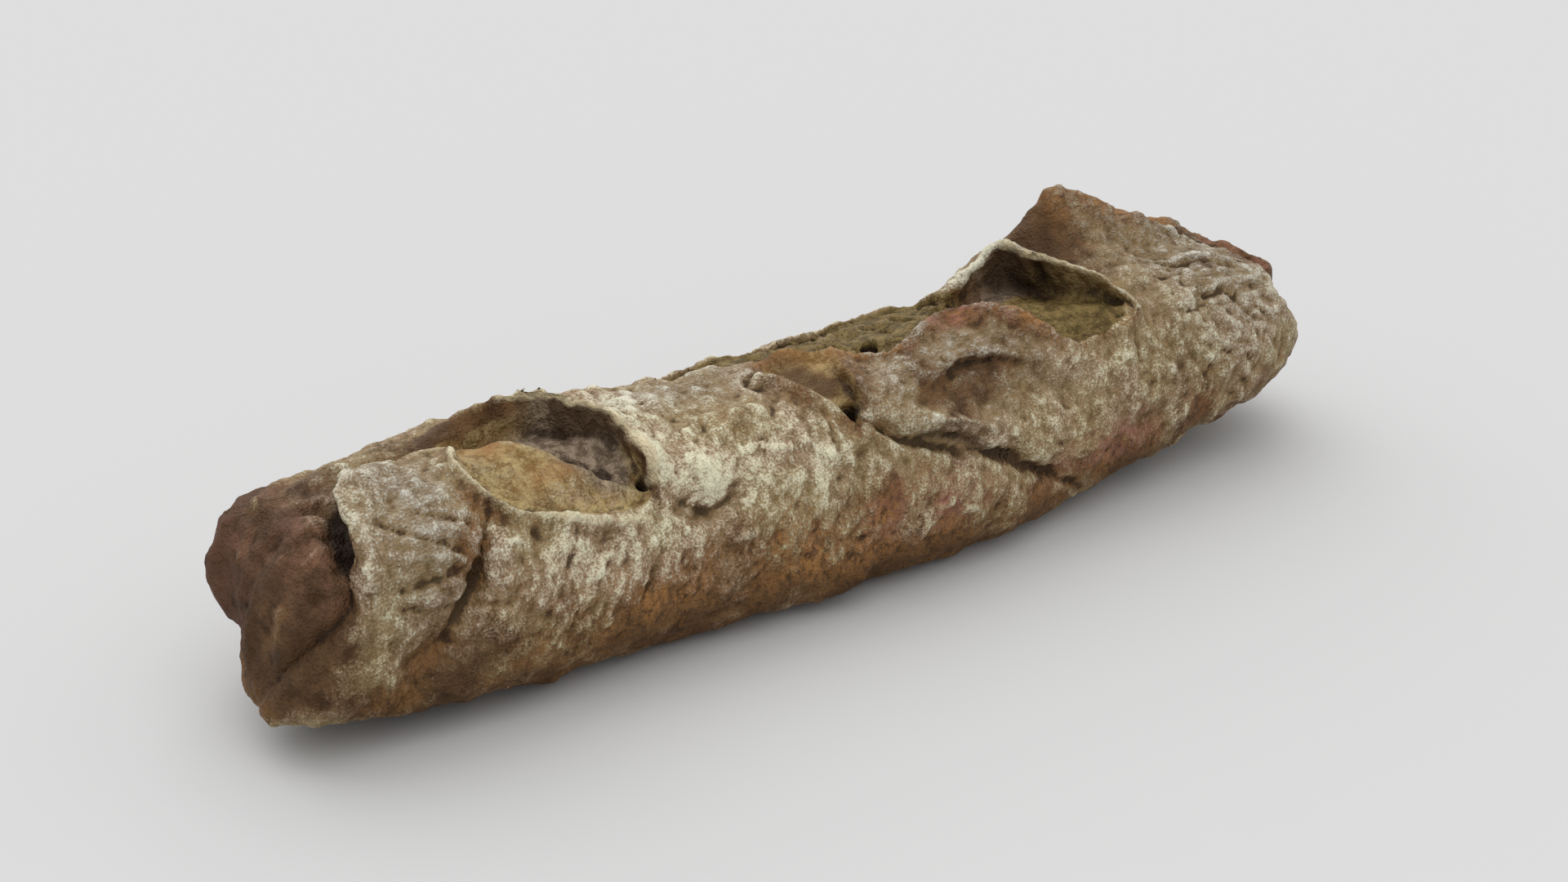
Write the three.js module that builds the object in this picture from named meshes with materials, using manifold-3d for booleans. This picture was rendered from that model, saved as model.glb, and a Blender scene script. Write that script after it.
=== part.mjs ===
// A rustic short baguette, baked as one piece of dough: a rounded bar of crust
// with burst scores along its crown, one tall ear on the far shoulder, creases
// where the dough was folded, and a lumpy near end. It is one solid, and stands
// on the flat that the oven floor baked into its underside.
//
// Millimetres, +Z up, +X along the loaf towards the eared end. A place on the
// crust is [x, turn]: x is measured along the loaf, and turn is in degrees round
// it from the crown, negative down the front and positive down the back.
import * as THREE from "three";
import Module from "manifold-3d";
import { mergeVertices } from "three/addons/utils/BufferGeometryUtils.js";

// Driving dimensions of the plain bar, before anything is swelled or scored.
const FOLDED_END = -161;
const EARED_END = 174;
const LENGTH = EARED_END - FOLDED_END;
const WIDTH = 76;
const HEIGHT = 62;
const BASE_CUT = 1.4; // how far up the oven floor flattened the underside

// Mesh fineness.
const RINGS_PER_END = 11;
const RINGS_ALONG = 60;
const POINTS_ROUND = 56;
const SAME_POINT = 1e-3; // points this near to each other are one

// Cross-sections at equal steps from the folded end to the eared end, each as
// [half width, crown height, drift of the middle line, lift of the underside]:
// the first two as shares of WIDTH / 2 and HEIGHT, the others in millimetres.
const SECTIONS = [
  [0.86, 0.94, 0, 3],
  [0.9, 0.96, 1, 2],
  [0.95, 0.96, 2, 1],
  [0.98, 0.94, 3, 0],
  [0.99, 0.93, 1, 0],
  [0.99, 0.94, 0, 0],
  [0.98, 0.96, 0, 0],
  [0.96, 0.99, 1, 2],
  [0.94, 1.02, 3, 6],
  [0.91, 0.96, 3, 10],
  [0.84, 0.88, 0, 14],
];
const WAIST = 0.42; // height of the widest line, as a share of the crown's height
const POWER_ABOVE = 2.25; // superellipse power of the crown
const POWER_BELOW = 2.9; // and of the flattened underside
const FOLDED_END_BLUNTNESS = 0.45; // 1 is a half sphere, and less is blunter
const EARED_END_BLUNTNESS = 0.65;

// Hollows where a score burst open: each is an oval from one place to another.
const OVERRUN = 5; // how far the oval runs on past both places
const WALL_SLOPE = 1.6; // how much sooner than an even bowl its floor is reached
const SCORES = [
  { from: [-112, 26], to: [-58, -60], halfWidth: 19, depth: 6 },
  { from: [-44, 26], to: [64, 10], halfWidth: 15, depth: 5 },
  { from: [48, 22], to: [96, -38], halfWidth: 15, depth: 9 },
  { from: [66, 66], to: [156, 34], halfWidth: 15, depth: 7 },
];

// Raised edges: places, each with the edge's height there. The crust slopes
// away over ahead millimetres on the right of the edge's run, looking down on
// the crust, and over behind millimetres on its left.
const EARS = [
  { edge: [[82, 28, 1], [96, 15, 18], [128, 12, 9], [152, 14, 1]], ahead: 13, behind: 8 },
  { edge: [[-96, 28, 1], [-76, 14, 5], [-60, -18, 5], [-58, -50, 2]], ahead: 7, behind: 9 },
  { edge: [[-114, 16, 2], [-110, -18, 4], [-100, -47, 3], [-76, -66, 1]], ahead: 8, behind: 7 },
  { edge: [[64, 30, 1], [86, 20, 5], [94, -8, 4], [100, -38, 1]], ahead: 7, behind: 8 },
  { edge: [[-6, 2, 1], [24, -20, 3], [52, -14, 5], [70, -42, 3], [92, -48, 1]], ahead: 9, behind: 7 },
];

// Creases where two folds of dough meet. They fade out over a share of their run.
const CREASE_FADE = 0.2;
const CREASES = [
  { line: [[-18, -18], [-3, -48], [12, -70], [36, -88], [58, -108]], depth: 6, halfWidth: 8 },
  { line: [[-110, -30], [-112, -50], [-121, -68], [-129, -86], [-144, -112]], depth: 4, halfWidth: 7 },
  { line: [[-116, 22], [-138, -6], [-144, -32], [-147, -54], [-156, -84]], depth: 5, halfWidth: 7 },
];

// Lumps and dents: a point near the crust is pushed by push, less with distance.
const LUMPS = [
  { at: [-160, 14, 42], reach: 18, push: [-4, 5, 1] },
  { at: [-163, 10, 24], reach: 8, push: [6, -2, 0] },
  { at: [-158, -22, 8], reach: 22, push: [-10, 0, 0] },
  { at: [-128, -20, 50], reach: 16, push: [0, -3, 3] },
  { at: [-52, -26, 50], reach: 10, push: [0, -2, 2] },
  { at: [45, -30, 46], reach: 15, push: [0, 5, -3] },
  { at: [20, -34, 28], reach: 28, push: [0, -3, 0] },
  { at: [168, 14, 50], reach: 15, push: [7, 2, 4] },
];

// A spline through one column of a table, over equal steps from 0 to 1.
function columnOf(table, column) {
  const spline = new THREE.SplineCurve(table.map((row, i) => new THREE.Vector2(i, row[column])));
  return (along) => spline.getPoint(THREE.MathUtils.clamp(along, 0, 1)).y;
}

const [halfWidthAt, crownAt, driftAt, liftAt] = [0, 1, 2, 3].map((column) => columnOf(SECTIONS, column));

// The plain bar's section at x: its half width, drift, crown, lift and waist.
function sectionAt(x) {
  const along = (x - FOLDED_END) / LENGTH;
  const half = (halfWidthAt(along) * WIDTH) / 2;
  const drift = driftAt(along);
  const crown = crownAt(along) * HEIGHT;
  const lift = liftAt(along);
  return { half, drift, crown, lift, waist: lift + WAIST * (crown - lift) };
}

// Millimetres round the crust for one degree of turn.
const MM_PER_DEGREE = (Math.PI / 180) * Math.sqrt((WIDTH / 2) * (HEIGHT / 2));

// Where a place stands against a line of places: how far off it is, on which
// side of the line's run, its share along the line and the height given there.
function placeAgainst(line, x, turn) {
  let nearest = { distance: Infinity, side: 1, share: 0, height: 0 };
  const steps = line.length - 1;
  for (let i = 0; i < steps; i++) {
    const [x0, turn0, height0 = 0] = line[i];
    const [x1, turn1, height1 = 0] = line[i + 1];
    const [runX, runY] = [x1 - x0, (turn1 - turn0) * MM_PER_DEGREE];
    const [offX, offY] = [x - x0, (turn - turn0) * MM_PER_DEGREE];
    const t = THREE.MathUtils.clamp((offX * runX + offY * runY) / (runX * runX + runY * runY), 0, 1);
    const distance = Math.hypot(offX - t * runX, offY - t * runY);
    if (distance < nearest.distance) {
      const side = Math.sign(runX * offY - runY * offX) || 1;
      nearest = { distance, side, share: (i + t) / steps, height: THREE.MathUtils.lerp(height0, height1, t) };
    }
  }
  return nearest;
}

// A bell curve: 1 at no distance, small past one reach and nothing past two.
function falloff(distance, reach) {
  return Math.exp(-Math.pow(distance / reach, 2));
}

// How far the scores, ears and creases move the crust outwards at a place.
function relief(x, turn) {
  let out = 0;
  for (const { from, to, halfWidth, depth } of SCORES) {
    const [runX, runY] = [to[0] - from[0], (to[1] - from[1]) * MM_PER_DEGREE];
    const [offX, offY] = [x - (from[0] + to[0]) / 2, (turn - (from[1] + to[1]) / 2) * MM_PER_DEGREE];
    const run = Math.hypot(runX, runY);
    const ahead = (offX * runX + offY * runY) / run;
    const aside = (offX * runY - offY * runX) / run;
    const inside = 1 - Math.hypot(ahead / (run / 2 + OVERRUN), aside / halfWidth);
    out -= depth * THREE.MathUtils.smoothstep(WALL_SLOPE * inside, 0, 1);
  }
  for (const { edge, ahead, behind } of EARS) {
    const near = placeAgainst(edge, x, turn);
    out += near.height * falloff(near.distance, near.side > 0 ? behind : ahead);
  }
  for (const { line, depth, halfWidth } of CREASES) {
    const near = placeAgainst(line, x, turn);
    const fade = Math.min(1, near.share / CREASE_FADE, (1 - near.share) / CREASE_FADE);
    out -= depth * fade * falloff(near.distance, halfWidth);
  }
  return out;
}

// The loaf's point at x in direction (across, up) of its section, where share is
// the section's size against a full one: 1 along the bar, and 0 at its tips.
function onLoaf(x, across, up, share) {
  const { half, drift, crown, lift, waist } = sectionAt(x);
  const power = up > 0 ? POWER_ABOVE : POWER_BELOW;
  const rise = up > 0 ? crown - waist : waist - lift;
  const round = Math.pow(Math.pow(Math.abs(across), power) + Math.pow(Math.abs(up), power), -1 / power);
  const size = round * Math.pow(share, x < 0 ? FOLDED_END_BLUNTNESS : EARED_END_BLUNTNESS);
  const out = share * relief(x, THREE.MathUtils.radToDeg(Math.atan2(across, up)));
  const bare = new THREE.Vector3(x, drift + across * (size * half + out), waist + up * (size * rise + out));
  const point = bare.clone();
  for (const { at, reach, push } of LUMPS) {
    const pull = falloff(bare.distanceTo(new THREE.Vector3(...at)), reach);
    point.addScaledVector(new THREE.Vector3(...push), pull);
  }
  return point;
}

// The whole crust, from a capsule whose rings and meridians are moved to it.
function crustGeometry() {
  const radius = WIDTH / 2;
  const straight = LENGTH - 2 * radius;
  const dough = new THREE.CapsuleGeometry(radius, straight, RINGS_PER_END, POINTS_ROUND, RINGS_ALONG);
  dough.rotateZ(-Math.PI / 2);
  dough.translate((FOLDED_END + EARED_END) / 2, 0, 0);
  const position = dough.getAttribute("position");
  for (let i = 0; i < position.count; i++) {
    const [x, y, z] = [position.getX(i), position.getY(i), position.getZ(i)];
    const share = Math.hypot(y, z) / radius;
    const [across, up] = share * radius > SAME_POINT ? [y / radius / share, z / radius / share] : [0, 1];
    position.setXYZ(i, ...onLoaf(x, across, up, share));
  }
  return dough;
}

const wasm = await Module();
wasm.setup();

// A closed geometry as a solid that manifold-3d can cut.
function solidOf(geometry) {
  const bare = new THREE.BufferGeometry().setAttribute("position", geometry.getAttribute("position"));
  const merged = mergeVertices(bare.setIndex(geometry.getIndex()), SAME_POINT);
  return new wasm.Manifold(
    new wasm.Mesh({
      numProp: 3,
      vertProperties: new Float32Array(merged.getAttribute("position").array),
      triVerts: new Uint32Array(merged.getIndex().array),
    }),
  );
}

function geometryOf(solid) {
  const mesh = solid.getMesh();
  const geometry = new THREE.BufferGeometry();
  geometry.setAttribute("position", new THREE.BufferAttribute(mesh.vertProperties, 3));
  geometry.setIndex(new THREE.BufferAttribute(mesh.triVerts, 1));
  return geometry;
}

// The crust with its flat underside, set down with the middle of its base at
// the origin.
function loafGeometry() {
  const ovenFloor = new THREE.BoxGeometry(2 * LENGTH, 2 * WIDTH, HEIGHT);
  ovenFloor.translate(0, 0, BASE_CUT - HEIGHT / 2);
  const loaf = geometryOf(solidOf(crustGeometry()).subtract(solidOf(ovenFloor)));
  loaf.computeBoundingBox();
  const middle = loaf.boundingBox.getCenter(new THREE.Vector3());
  loaf.translate(-middle.x, -middle.y, -loaf.boundingBox.min.z);
  loaf.computeVertexNormals();
  return loaf;
}

const crust = new THREE.MeshStandardMaterial({ color: 0x8f7f66, roughness: 0.8, metalness: 0 });
const loaf = new THREE.Mesh(loafGeometry(), crust);
loaf.name = "loaf";

const baguette = new THREE.Group();
baguette.add(loaf);

export default baguette;
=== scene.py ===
"""A rustic short baguette: its sculpted crust, its burst scores and its flour.

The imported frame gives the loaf's box. The crust starts as a sphere of many fine
rings, which is drawn out into the plain bar of dough. Scores, lips, creases and
lumps are then pressed into it, it is remeshed, and pores and wrinkles are added.

Lengths in this file are in millimetres, and MM turns them into metres where a
mesh is written. A place on the crust is (x, turn): x is measured along the loaf
from the middle of its box, and turn is in degrees round it from the crown,
negative down the front and positive down the back.
"""

import logging
import math
from dataclasses import dataclass
from enum import Enum
from itertools import product

import bpy
import numpy as np
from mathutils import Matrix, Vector
from mathutils.kdtree import KDTree


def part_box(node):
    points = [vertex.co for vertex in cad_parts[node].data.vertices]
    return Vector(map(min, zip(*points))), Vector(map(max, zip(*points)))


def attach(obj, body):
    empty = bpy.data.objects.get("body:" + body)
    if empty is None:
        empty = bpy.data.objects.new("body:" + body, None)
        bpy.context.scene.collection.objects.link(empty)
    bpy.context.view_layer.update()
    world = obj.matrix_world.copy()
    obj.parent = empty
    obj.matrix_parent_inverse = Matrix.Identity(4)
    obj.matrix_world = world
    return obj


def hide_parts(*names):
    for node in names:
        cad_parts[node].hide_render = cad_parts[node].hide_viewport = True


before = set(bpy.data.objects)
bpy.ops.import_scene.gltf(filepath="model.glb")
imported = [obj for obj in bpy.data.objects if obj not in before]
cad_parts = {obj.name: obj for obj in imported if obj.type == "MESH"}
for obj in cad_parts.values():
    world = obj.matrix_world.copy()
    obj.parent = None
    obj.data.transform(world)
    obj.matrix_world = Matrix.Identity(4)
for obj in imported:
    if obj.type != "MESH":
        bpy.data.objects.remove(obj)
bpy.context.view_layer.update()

MM = 0.001
NODE = "loaf"
BODY = "root"

# How far the sculpted bar's tips stand inside the ends of the loaf's box.
FOLDED_INSET = 6.3
EARED_INSET = 2.0

# How many of its own widths away from its line a feature is still felt.
REACH = 2.4
# Too short to be a length, and how many points are measured at once.
TINY = 1e-9
BATCH = 20000
# Each further octave of noise is finer and weaker than the last.
OCTAVE_FINER = 2.1
OCTAVE_WEAKER = 0.5
# The whole numbers that stir the corner of a grid into a random number.
STIR_AXES = (73856093, 19349663, 83492791)
STIR_SEED = (2654435, 4294967291)
STIR_ROUNDS = ((13, 1274126177), (15, 2246822519))
STIR_LAST = 13
STIR_HALF = 2147483647.5

log = logging.getLogger("baguette")


class Layer(Enum):
    """What the crust's colour is mixed from, each stored as a share on every point."""

    FLOUR = "flour"
    BAKE = "bake"
    RED = "red"
    CRUMB = "crumb"
    SKIN = "skin"
    # Painted shade, laid in the cuts, pits, grooves, creases and pore mouths.
    HOLLOW = "hollow"
    EDGE = "edge"
    # Darker crust; on the walls under the lips and in some cavities it is painted shade.
    DARK = "dark"
    ALONG = "along"
    MEMBRANE = "membrane"


# ---------------------------------------------------------------- small maths


def smoothstep(value: np.ndarray) -> np.ndarray:
    """Ease a value from 0 to 1, flat at both ends."""
    t = np.clip(value, 0.0, 1.0)
    return t * t * (3.0 - 2.0 * t)


def bell(distance: np.ndarray, reach: np.ndarray | float) -> np.ndarray:
    """A bell curve: 1 at no distance, and next to nothing past two reaches."""
    return np.exp(-((distance / reach) ** 2))


def unit(vectors: np.ndarray) -> np.ndarray:
    """The same directions with a length of 1."""
    return vectors / np.maximum(np.linalg.norm(vectors, axis=-1, keepdims=True), TINY)


def within(points: np.ndarray, low: np.ndarray, high: np.ndarray) -> np.ndarray:
    """The numbers of the points between two corners."""
    return np.flatnonzero(((points > low) & (points < high)).all(1))


def closest(points: np.ndarray, targets: np.ndarray) -> np.ndarray:
    """Find the target nearest to each point, where there are only a few hundred targets.

    Args:
        points: The points.
        targets: What they may be near to.

    Returns:
        One number for each point.
    """
    numbers = np.empty(len(points), int)
    for start in range(0, len(points), BATCH):
        gap = (targets**2).sum(1)[None] - 2 * points[start : start + BATCH] @ targets.T
        numbers[start : start + BATCH] = gap.argmin(1)
    return numbers


def spline(rows: np.ndarray, share: np.ndarray) -> np.ndarray:
    """Read a smooth curve through evenly spaced rows.

    Args:
        rows: The rows that the curve passes through.
        share: Where to read it, from 0 at the first row to 1 at the last.

    Returns:
        One row for each share.
    """
    last = len(rows) - 1
    place = np.clip(share, 0.0, 1.0) * last
    first = np.minimum(place.astype(int), last - 1)
    t = (place - first)[:, None]
    before, start = rows[np.maximum(first - 1, 0)], rows[first]
    end, after = rows[first + 1], rows[np.minimum(first + 2, last)]
    slope_in, slope_out = (end - before) / 2, (after - start) / 2
    cubic = 2 * start - 2 * end + slope_in + slope_out
    square = -3 * start + 3 * end - 2 * slope_in - slope_out
    return ((cubic * t + square) * t + slope_in) * t + start


def lattice(corner: np.ndarray, seed: int) -> np.ndarray:
    """A fixed random number from -1 to 1 for each corner of a grid of cubes.

    Args:
        corner: The corners, as whole numbers along three axes.
        seed: Which set of random numbers.

    Returns:
        One number for each corner.
    """
    axes = corner.astype(np.int64).astype(np.uint32)
    factor, limit = STIR_SEED
    mixed = np.full(len(axes), seed * factor % limit, np.uint32)
    for axis, factor in enumerate(STIR_AXES):
        mixed = mixed ^ axes[:, axis] * np.uint32(factor)
    for shift, factor in STIR_ROUNDS:
        mixed = (mixed ^ (mixed >> np.uint32(shift))) * np.uint32(factor)
    return (mixed ^ (mixed >> np.uint32(STIR_LAST))) / STIR_HALF - 1.0


def noise(points: np.ndarray, grain: float | tuple | np.ndarray, seed: int) -> np.ndarray:
    """Smooth random waves from -1 to 1.

    Args:
        points: Where to read them, in millimetres.
        grain: The size of a wave in millimetres, one for all axes or one for each.
        seed: Which set of waves.

    Returns:
        The waves' height at each point.
    """
    scaled = points / np.array(grain, float)
    cell = np.floor(scaled)
    t = scaled - cell
    t = t * t * t * (t * (t * 6 - 15) + 10)
    total = np.zeros(len(points))
    for dx, dy, dz in product((0, 1), repeat=3):
        weight = np.abs(1 - dx - t[:, 0]) * np.abs(1 - dy - t[:, 1]) * np.abs(1 - dz - t[:, 2])
        total += weight * lattice(cell + (dx, dy, dz), seed)
    return total


@dataclass(frozen=True)
class Waves:
    """Random waves with finer and weaker ones laid over them."""

    strength: float
    grain: float
    seed: int
    octaves: int = 3

    def at(self, points: np.ndarray) -> np.ndarray:
        """Work out the waves' height.

        Args:
            points: Where to read them, in millimetres.

        Returns:
            One height for each point.
        """
        total = np.zeros(len(points))
        strength, grain = 1.0, self.grain
        for octave in range(self.octaves):
            total += strength * noise(points, grain, self.seed + octave)
            strength *= OCTAVE_WEAKER
            grain /= OCTAVE_FINER
        return self.strength * total


# ---------------------------------------------------------------- the bar of dough


@dataclass(frozen=True)
class Section:
    """One cross-section of the plain bar.

    The half width and the crown are shares of the bar's, and the drift of the
    middle line and the lift of the underside are in millimetres.
    """

    half: float
    crown: float
    drift: float
    lift: float


@dataclass(frozen=True)
class Bar:
    """The plain rounded bar of dough, before it is swelled or scored.

    The powers say how square a section is above and below its waist, and the
    bluntness how round each end is: the lower, the blunter.
    """

    folded_end: float
    eared_end: float
    width: float = 76.0
    height: float = 62.0
    base_cut: float = 1.4
    waist: float = 0.42
    power_above: float = 2.25
    power_below: float = 2.9
    folded_bluntness: float = 0.45
    eared_bluntness: float = 0.65
    smallest: float = 1e-4
    sections: tuple[Section, ...] = (
        Section(0.86, 0.94, 0, 3),
        Section(0.90, 0.96, 1, 2),
        Section(0.95, 0.96, 2, 1),
        Section(0.98, 0.94, 3, 0),
        Section(0.99, 0.93, 1, 0),
        Section(0.99, 0.94, 0, 0),
        Section(0.98, 0.96, 0, 0),
        Section(0.96, 0.99, 1, 2),
        Section(0.94, 1.02, 3, 6),
        Section(0.91, 0.96, 3, 10),
        Section(0.84, 0.88, 0, 14),
    )

    @property
    def length(self) -> float:
        """From tip to tip."""
        return self.eared_end - self.folded_end

    @property
    def radius(self) -> float:
        """How far each rounded end reaches along the bar."""
        return self.width / 2

    @property
    def per_degree(self) -> float:
        """Millimetres round the crust for one degree of turn."""
        return math.radians(1) * math.sqrt(self.width * self.height) / 2

    def table(self) -> np.ndarray:
        """The sections as rows of half width, crown, drift and lift."""
        return np.array([(s.half, s.crown, s.drift, s.lift) for s in self.sections], float)

    def point(self, x: np.ndarray, turn: np.ndarray, share: np.ndarray) -> np.ndarray:
        """Find points of the bar.

        Args:
            x: Where they are along the bar.
            turn: Their turn from the crown, in radians.
            share: The size of the section there: 1 along the bar, 0 at its tips.

        Returns:
            A row of x, y and z for each.
        """
        rows = spline(self.table(), (x - self.folded_end) / self.length)
        half = rows[:, 0] * self.width / 2
        crown = rows[:, 1] * self.height
        lift = rows[:, 3]
        middle = lift + self.waist * (crown - lift)
        across, up = np.sin(turn), np.cos(turn)
        power = np.where(up > 0, self.power_above, self.power_below)
        rise = np.where(up > 0, crown - middle, middle - lift)
        reach = (np.abs(across) ** power + np.abs(up) ** power) ** (-1 / power)
        blunt = np.where(x < 0, self.folded_bluntness, self.eared_bluntness)
        size = reach * np.maximum(share, self.smallest) ** blunt
        y = rows[:, 2] + across * size * half
        z = middle + up * size * rise - self.base_cut
        return np.stack([x, y, z], -1)

    def share_at(self, x: np.ndarray) -> np.ndarray:
        """The size of the section at x: 1 along the bar, 0 at its tips."""
        past = np.maximum(self.folded_end + self.radius - x, x - self.eared_end + self.radius)
        return np.sqrt(np.clip(1 - (np.maximum(past, 0) / self.radius) ** 2, 0, 1))

    def at(self, x: np.ndarray, turn: np.ndarray) -> np.ndarray:
        """The bar's points at x and turn, with turn in degrees."""
        return self.point(x, np.radians(turn), self.share_at(x))


    def meridian(self, share: np.ndarray) -> tuple[np.ndarray, np.ndarray]:
        """Step evenly from the folded tip to the eared one, over both rounded ends.

        Args:
            share: How far along, from 0 to 1.

        Returns:
            x, and the size of the section there.
        """
        quarter = math.pi * self.radius / 2
        whole = 2 * quarter + self.length - 2 * self.radius
        gone = share * whole
        left = whole - gone
        folded = self.folded_end + self.radius * (1 - np.cos(gone / self.radius))
        eared = self.eared_end - self.radius * (1 - np.cos(left / self.radius))
        straight = self.folded_end + self.radius + gone - quarter
        x = np.where(gone < quarter, folded, np.where(left < quarter, eared, straight))
        angle = np.minimum(np.minimum(gone, left), quarter) / self.radius
        return x, np.sin(angle)

# ---------------------------------------------------------------- places and lines


@dataclass
class Run:
    """A smooth line laid on the bar, as close points with what was given there."""

    points: np.ndarray
    forward: np.ndarray
    leftward: np.ndarray
    value: np.ndarray


@dataclass
class Nearness:
    """How the points of the crust near a line stand against it."""

    chosen: np.ndarray
    distance: np.ndarray
    aside: np.ndarray
    value: np.ndarray
    leftward: np.ndarray


def lay(bar: Bar, places: tuple, step: float = 0.8, fewest: int = 8, nudge: float = 0.5) -> Run:
    """Lay a smooth line on the bar.

    Args:
        bar: The bar of dough.
        places: (x, turn, value) for each place that the line passes.
        step: How far apart its points are.
        fewest: How many points it has at least.
        nudge: How far to either side the bar's slope is measured.

    Returns:
        The line.
    """
    rows = np.array(places, float)
    span = np.hypot(np.diff(rows[:, 0]), np.diff(rows[:, 1]) * bar.per_degree)
    x, turn, value = spline(rows, np.linspace(0, 1, max(fewest, int(span.sum() / step)))).T
    points = bar.at(x, turn)
    forward = unit(np.gradient(points, axis=0))
    ahead = bar.at(x + nudge, turn) - bar.at(x - nudge, turn)
    beside = bar.at(x, turn + nudge) - bar.at(x, turn - nudge)
    leftward = unit(np.cross(unit(np.cross(ahead, beside)), forward))
    return Run(points, forward, leftward, value)


def against(points: np.ndarray, run: Run, reach: float) -> Nearness:
    """Measure the points that lie within reach of a line.

    Args:
        points: Points of the crust.
        run: The line.
        reach: How far from the line still counts.

    Returns:
        The chosen points' numbers, and how each stands against the line.
    """
    chosen = within(points, run.points.min(0) - reach, run.points.max(0) + reach)
    nearest = closest(points[chosen], run.points)
    off = points[chosen] - run.points[nearest]
    at_end = (nearest == 0) | (nearest == len(run.points) - 1)
    ahead = np.where(at_end, (off * run.forward[nearest]).sum(1), 0.0)
    aside = (off * run.leftward[nearest]).sum(1)
    distance = np.hypot(ahead, aside)
    kept = distance < reach
    nearest = nearest[kept]
    return Nearness(chosen[kept], distance[kept], aside[kept], run.value[nearest], run.leftward[nearest])


# ---------------------------------------------------------------- the sculptor's tools


@dataclass
class Sculpt:
    """The crust being sculpted: where every point was, and where it goes.

    The rims are the numbers of the points on each lip's rim, and how pale they are.
    """

    bar: Bar
    points: np.ndarray
    outward: np.ndarray
    x: np.ndarray
    around: np.ndarray
    move: np.ndarray
    layers: dict[Layer, np.ndarray]
    rims: list[tuple[np.ndarray, np.ndarray]]

    @classmethod
    def of(cls, bar: Bar, x: np.ndarray, turn: np.ndarray, share: np.ndarray) -> "Sculpt":
        """Start from the plain bar's points.

        Args:
            bar: The bar of dough.
            x: Where each point is along it.
            turn: Its turn from the crown, in radians.
            share: The size of the section there.

        Returns:
            The crust, with nothing moved or painted.
        """
        nudge, step, tip_share = 1e-3, 0.02, 0.02
        beside = bar.point(x, turn + nudge, share) - bar.point(x, turn - nudge, share)
        low, high = (np.clip(x + way, bar.folded_end, bar.eared_end) for way in (-step, step))
        ahead = bar.point(high, turn, bar.share_at(high)) - bar.point(low, turn, bar.share_at(low))
        outward = unit(np.cross(ahead, beside))
        tip = share < tip_share
        outward[tip] = np.stack([np.sign(x[tip]), np.zeros(tip.sum()), np.zeros(tip.sum())], -1)
        points = bar.point(x, turn, share)
        around = np.degrees(turn) * bar.per_degree
        layers = {layer: np.zeros(len(x)) for layer in Layer}
        return cls(bar, points, outward, x, around, np.zeros_like(points), layers, [])

    def away(self, place: tuple | np.ndarray) -> np.ndarray:
        """How far each point is from a place (x, y, z)."""
        return np.linalg.norm(self.points - np.array(place, float), axis=1)

    def raise_(self, chosen: np.ndarray, height: np.ndarray) -> None:
        """Move points outwards by a height in millimetres."""
        self.move[chosen] += self.outward[chosen] * height[:, None]

    def paint(self, layer: Layer, chosen: np.ndarray, amount: np.ndarray) -> None:
        """Add to a layer of the finish."""
        self.layers[layer][chosen] += amount


@dataclass(frozen=True)
class Ridge:
    """A raised line, or with negative heights a groove: its places are (x, turn, height)."""

    places: tuple
    left: float = 4.0
    right: float = 4.0
    layer: Layer | None = None
    amount: float = 0.0
    change: float = 2.0

    def press(self, sculpt: Sculpt) -> None:
        """Raise the crust along the line.

        Args:
            sculpt: The crust.
        """
        near = against(sculpt.points, lay(sculpt.bar, self.places), REACH * max(self.left, self.right))
        lean = smoothstep(near.aside / self.change + 0.5)
        shape = bell(near.distance, self.right + (self.left - self.right) * lean)
        sculpt.raise_(near.chosen, near.value * shape)
        if self.layer:
            sculpt.paint(self.layer, near.chosen, self.amount * shape)


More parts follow.
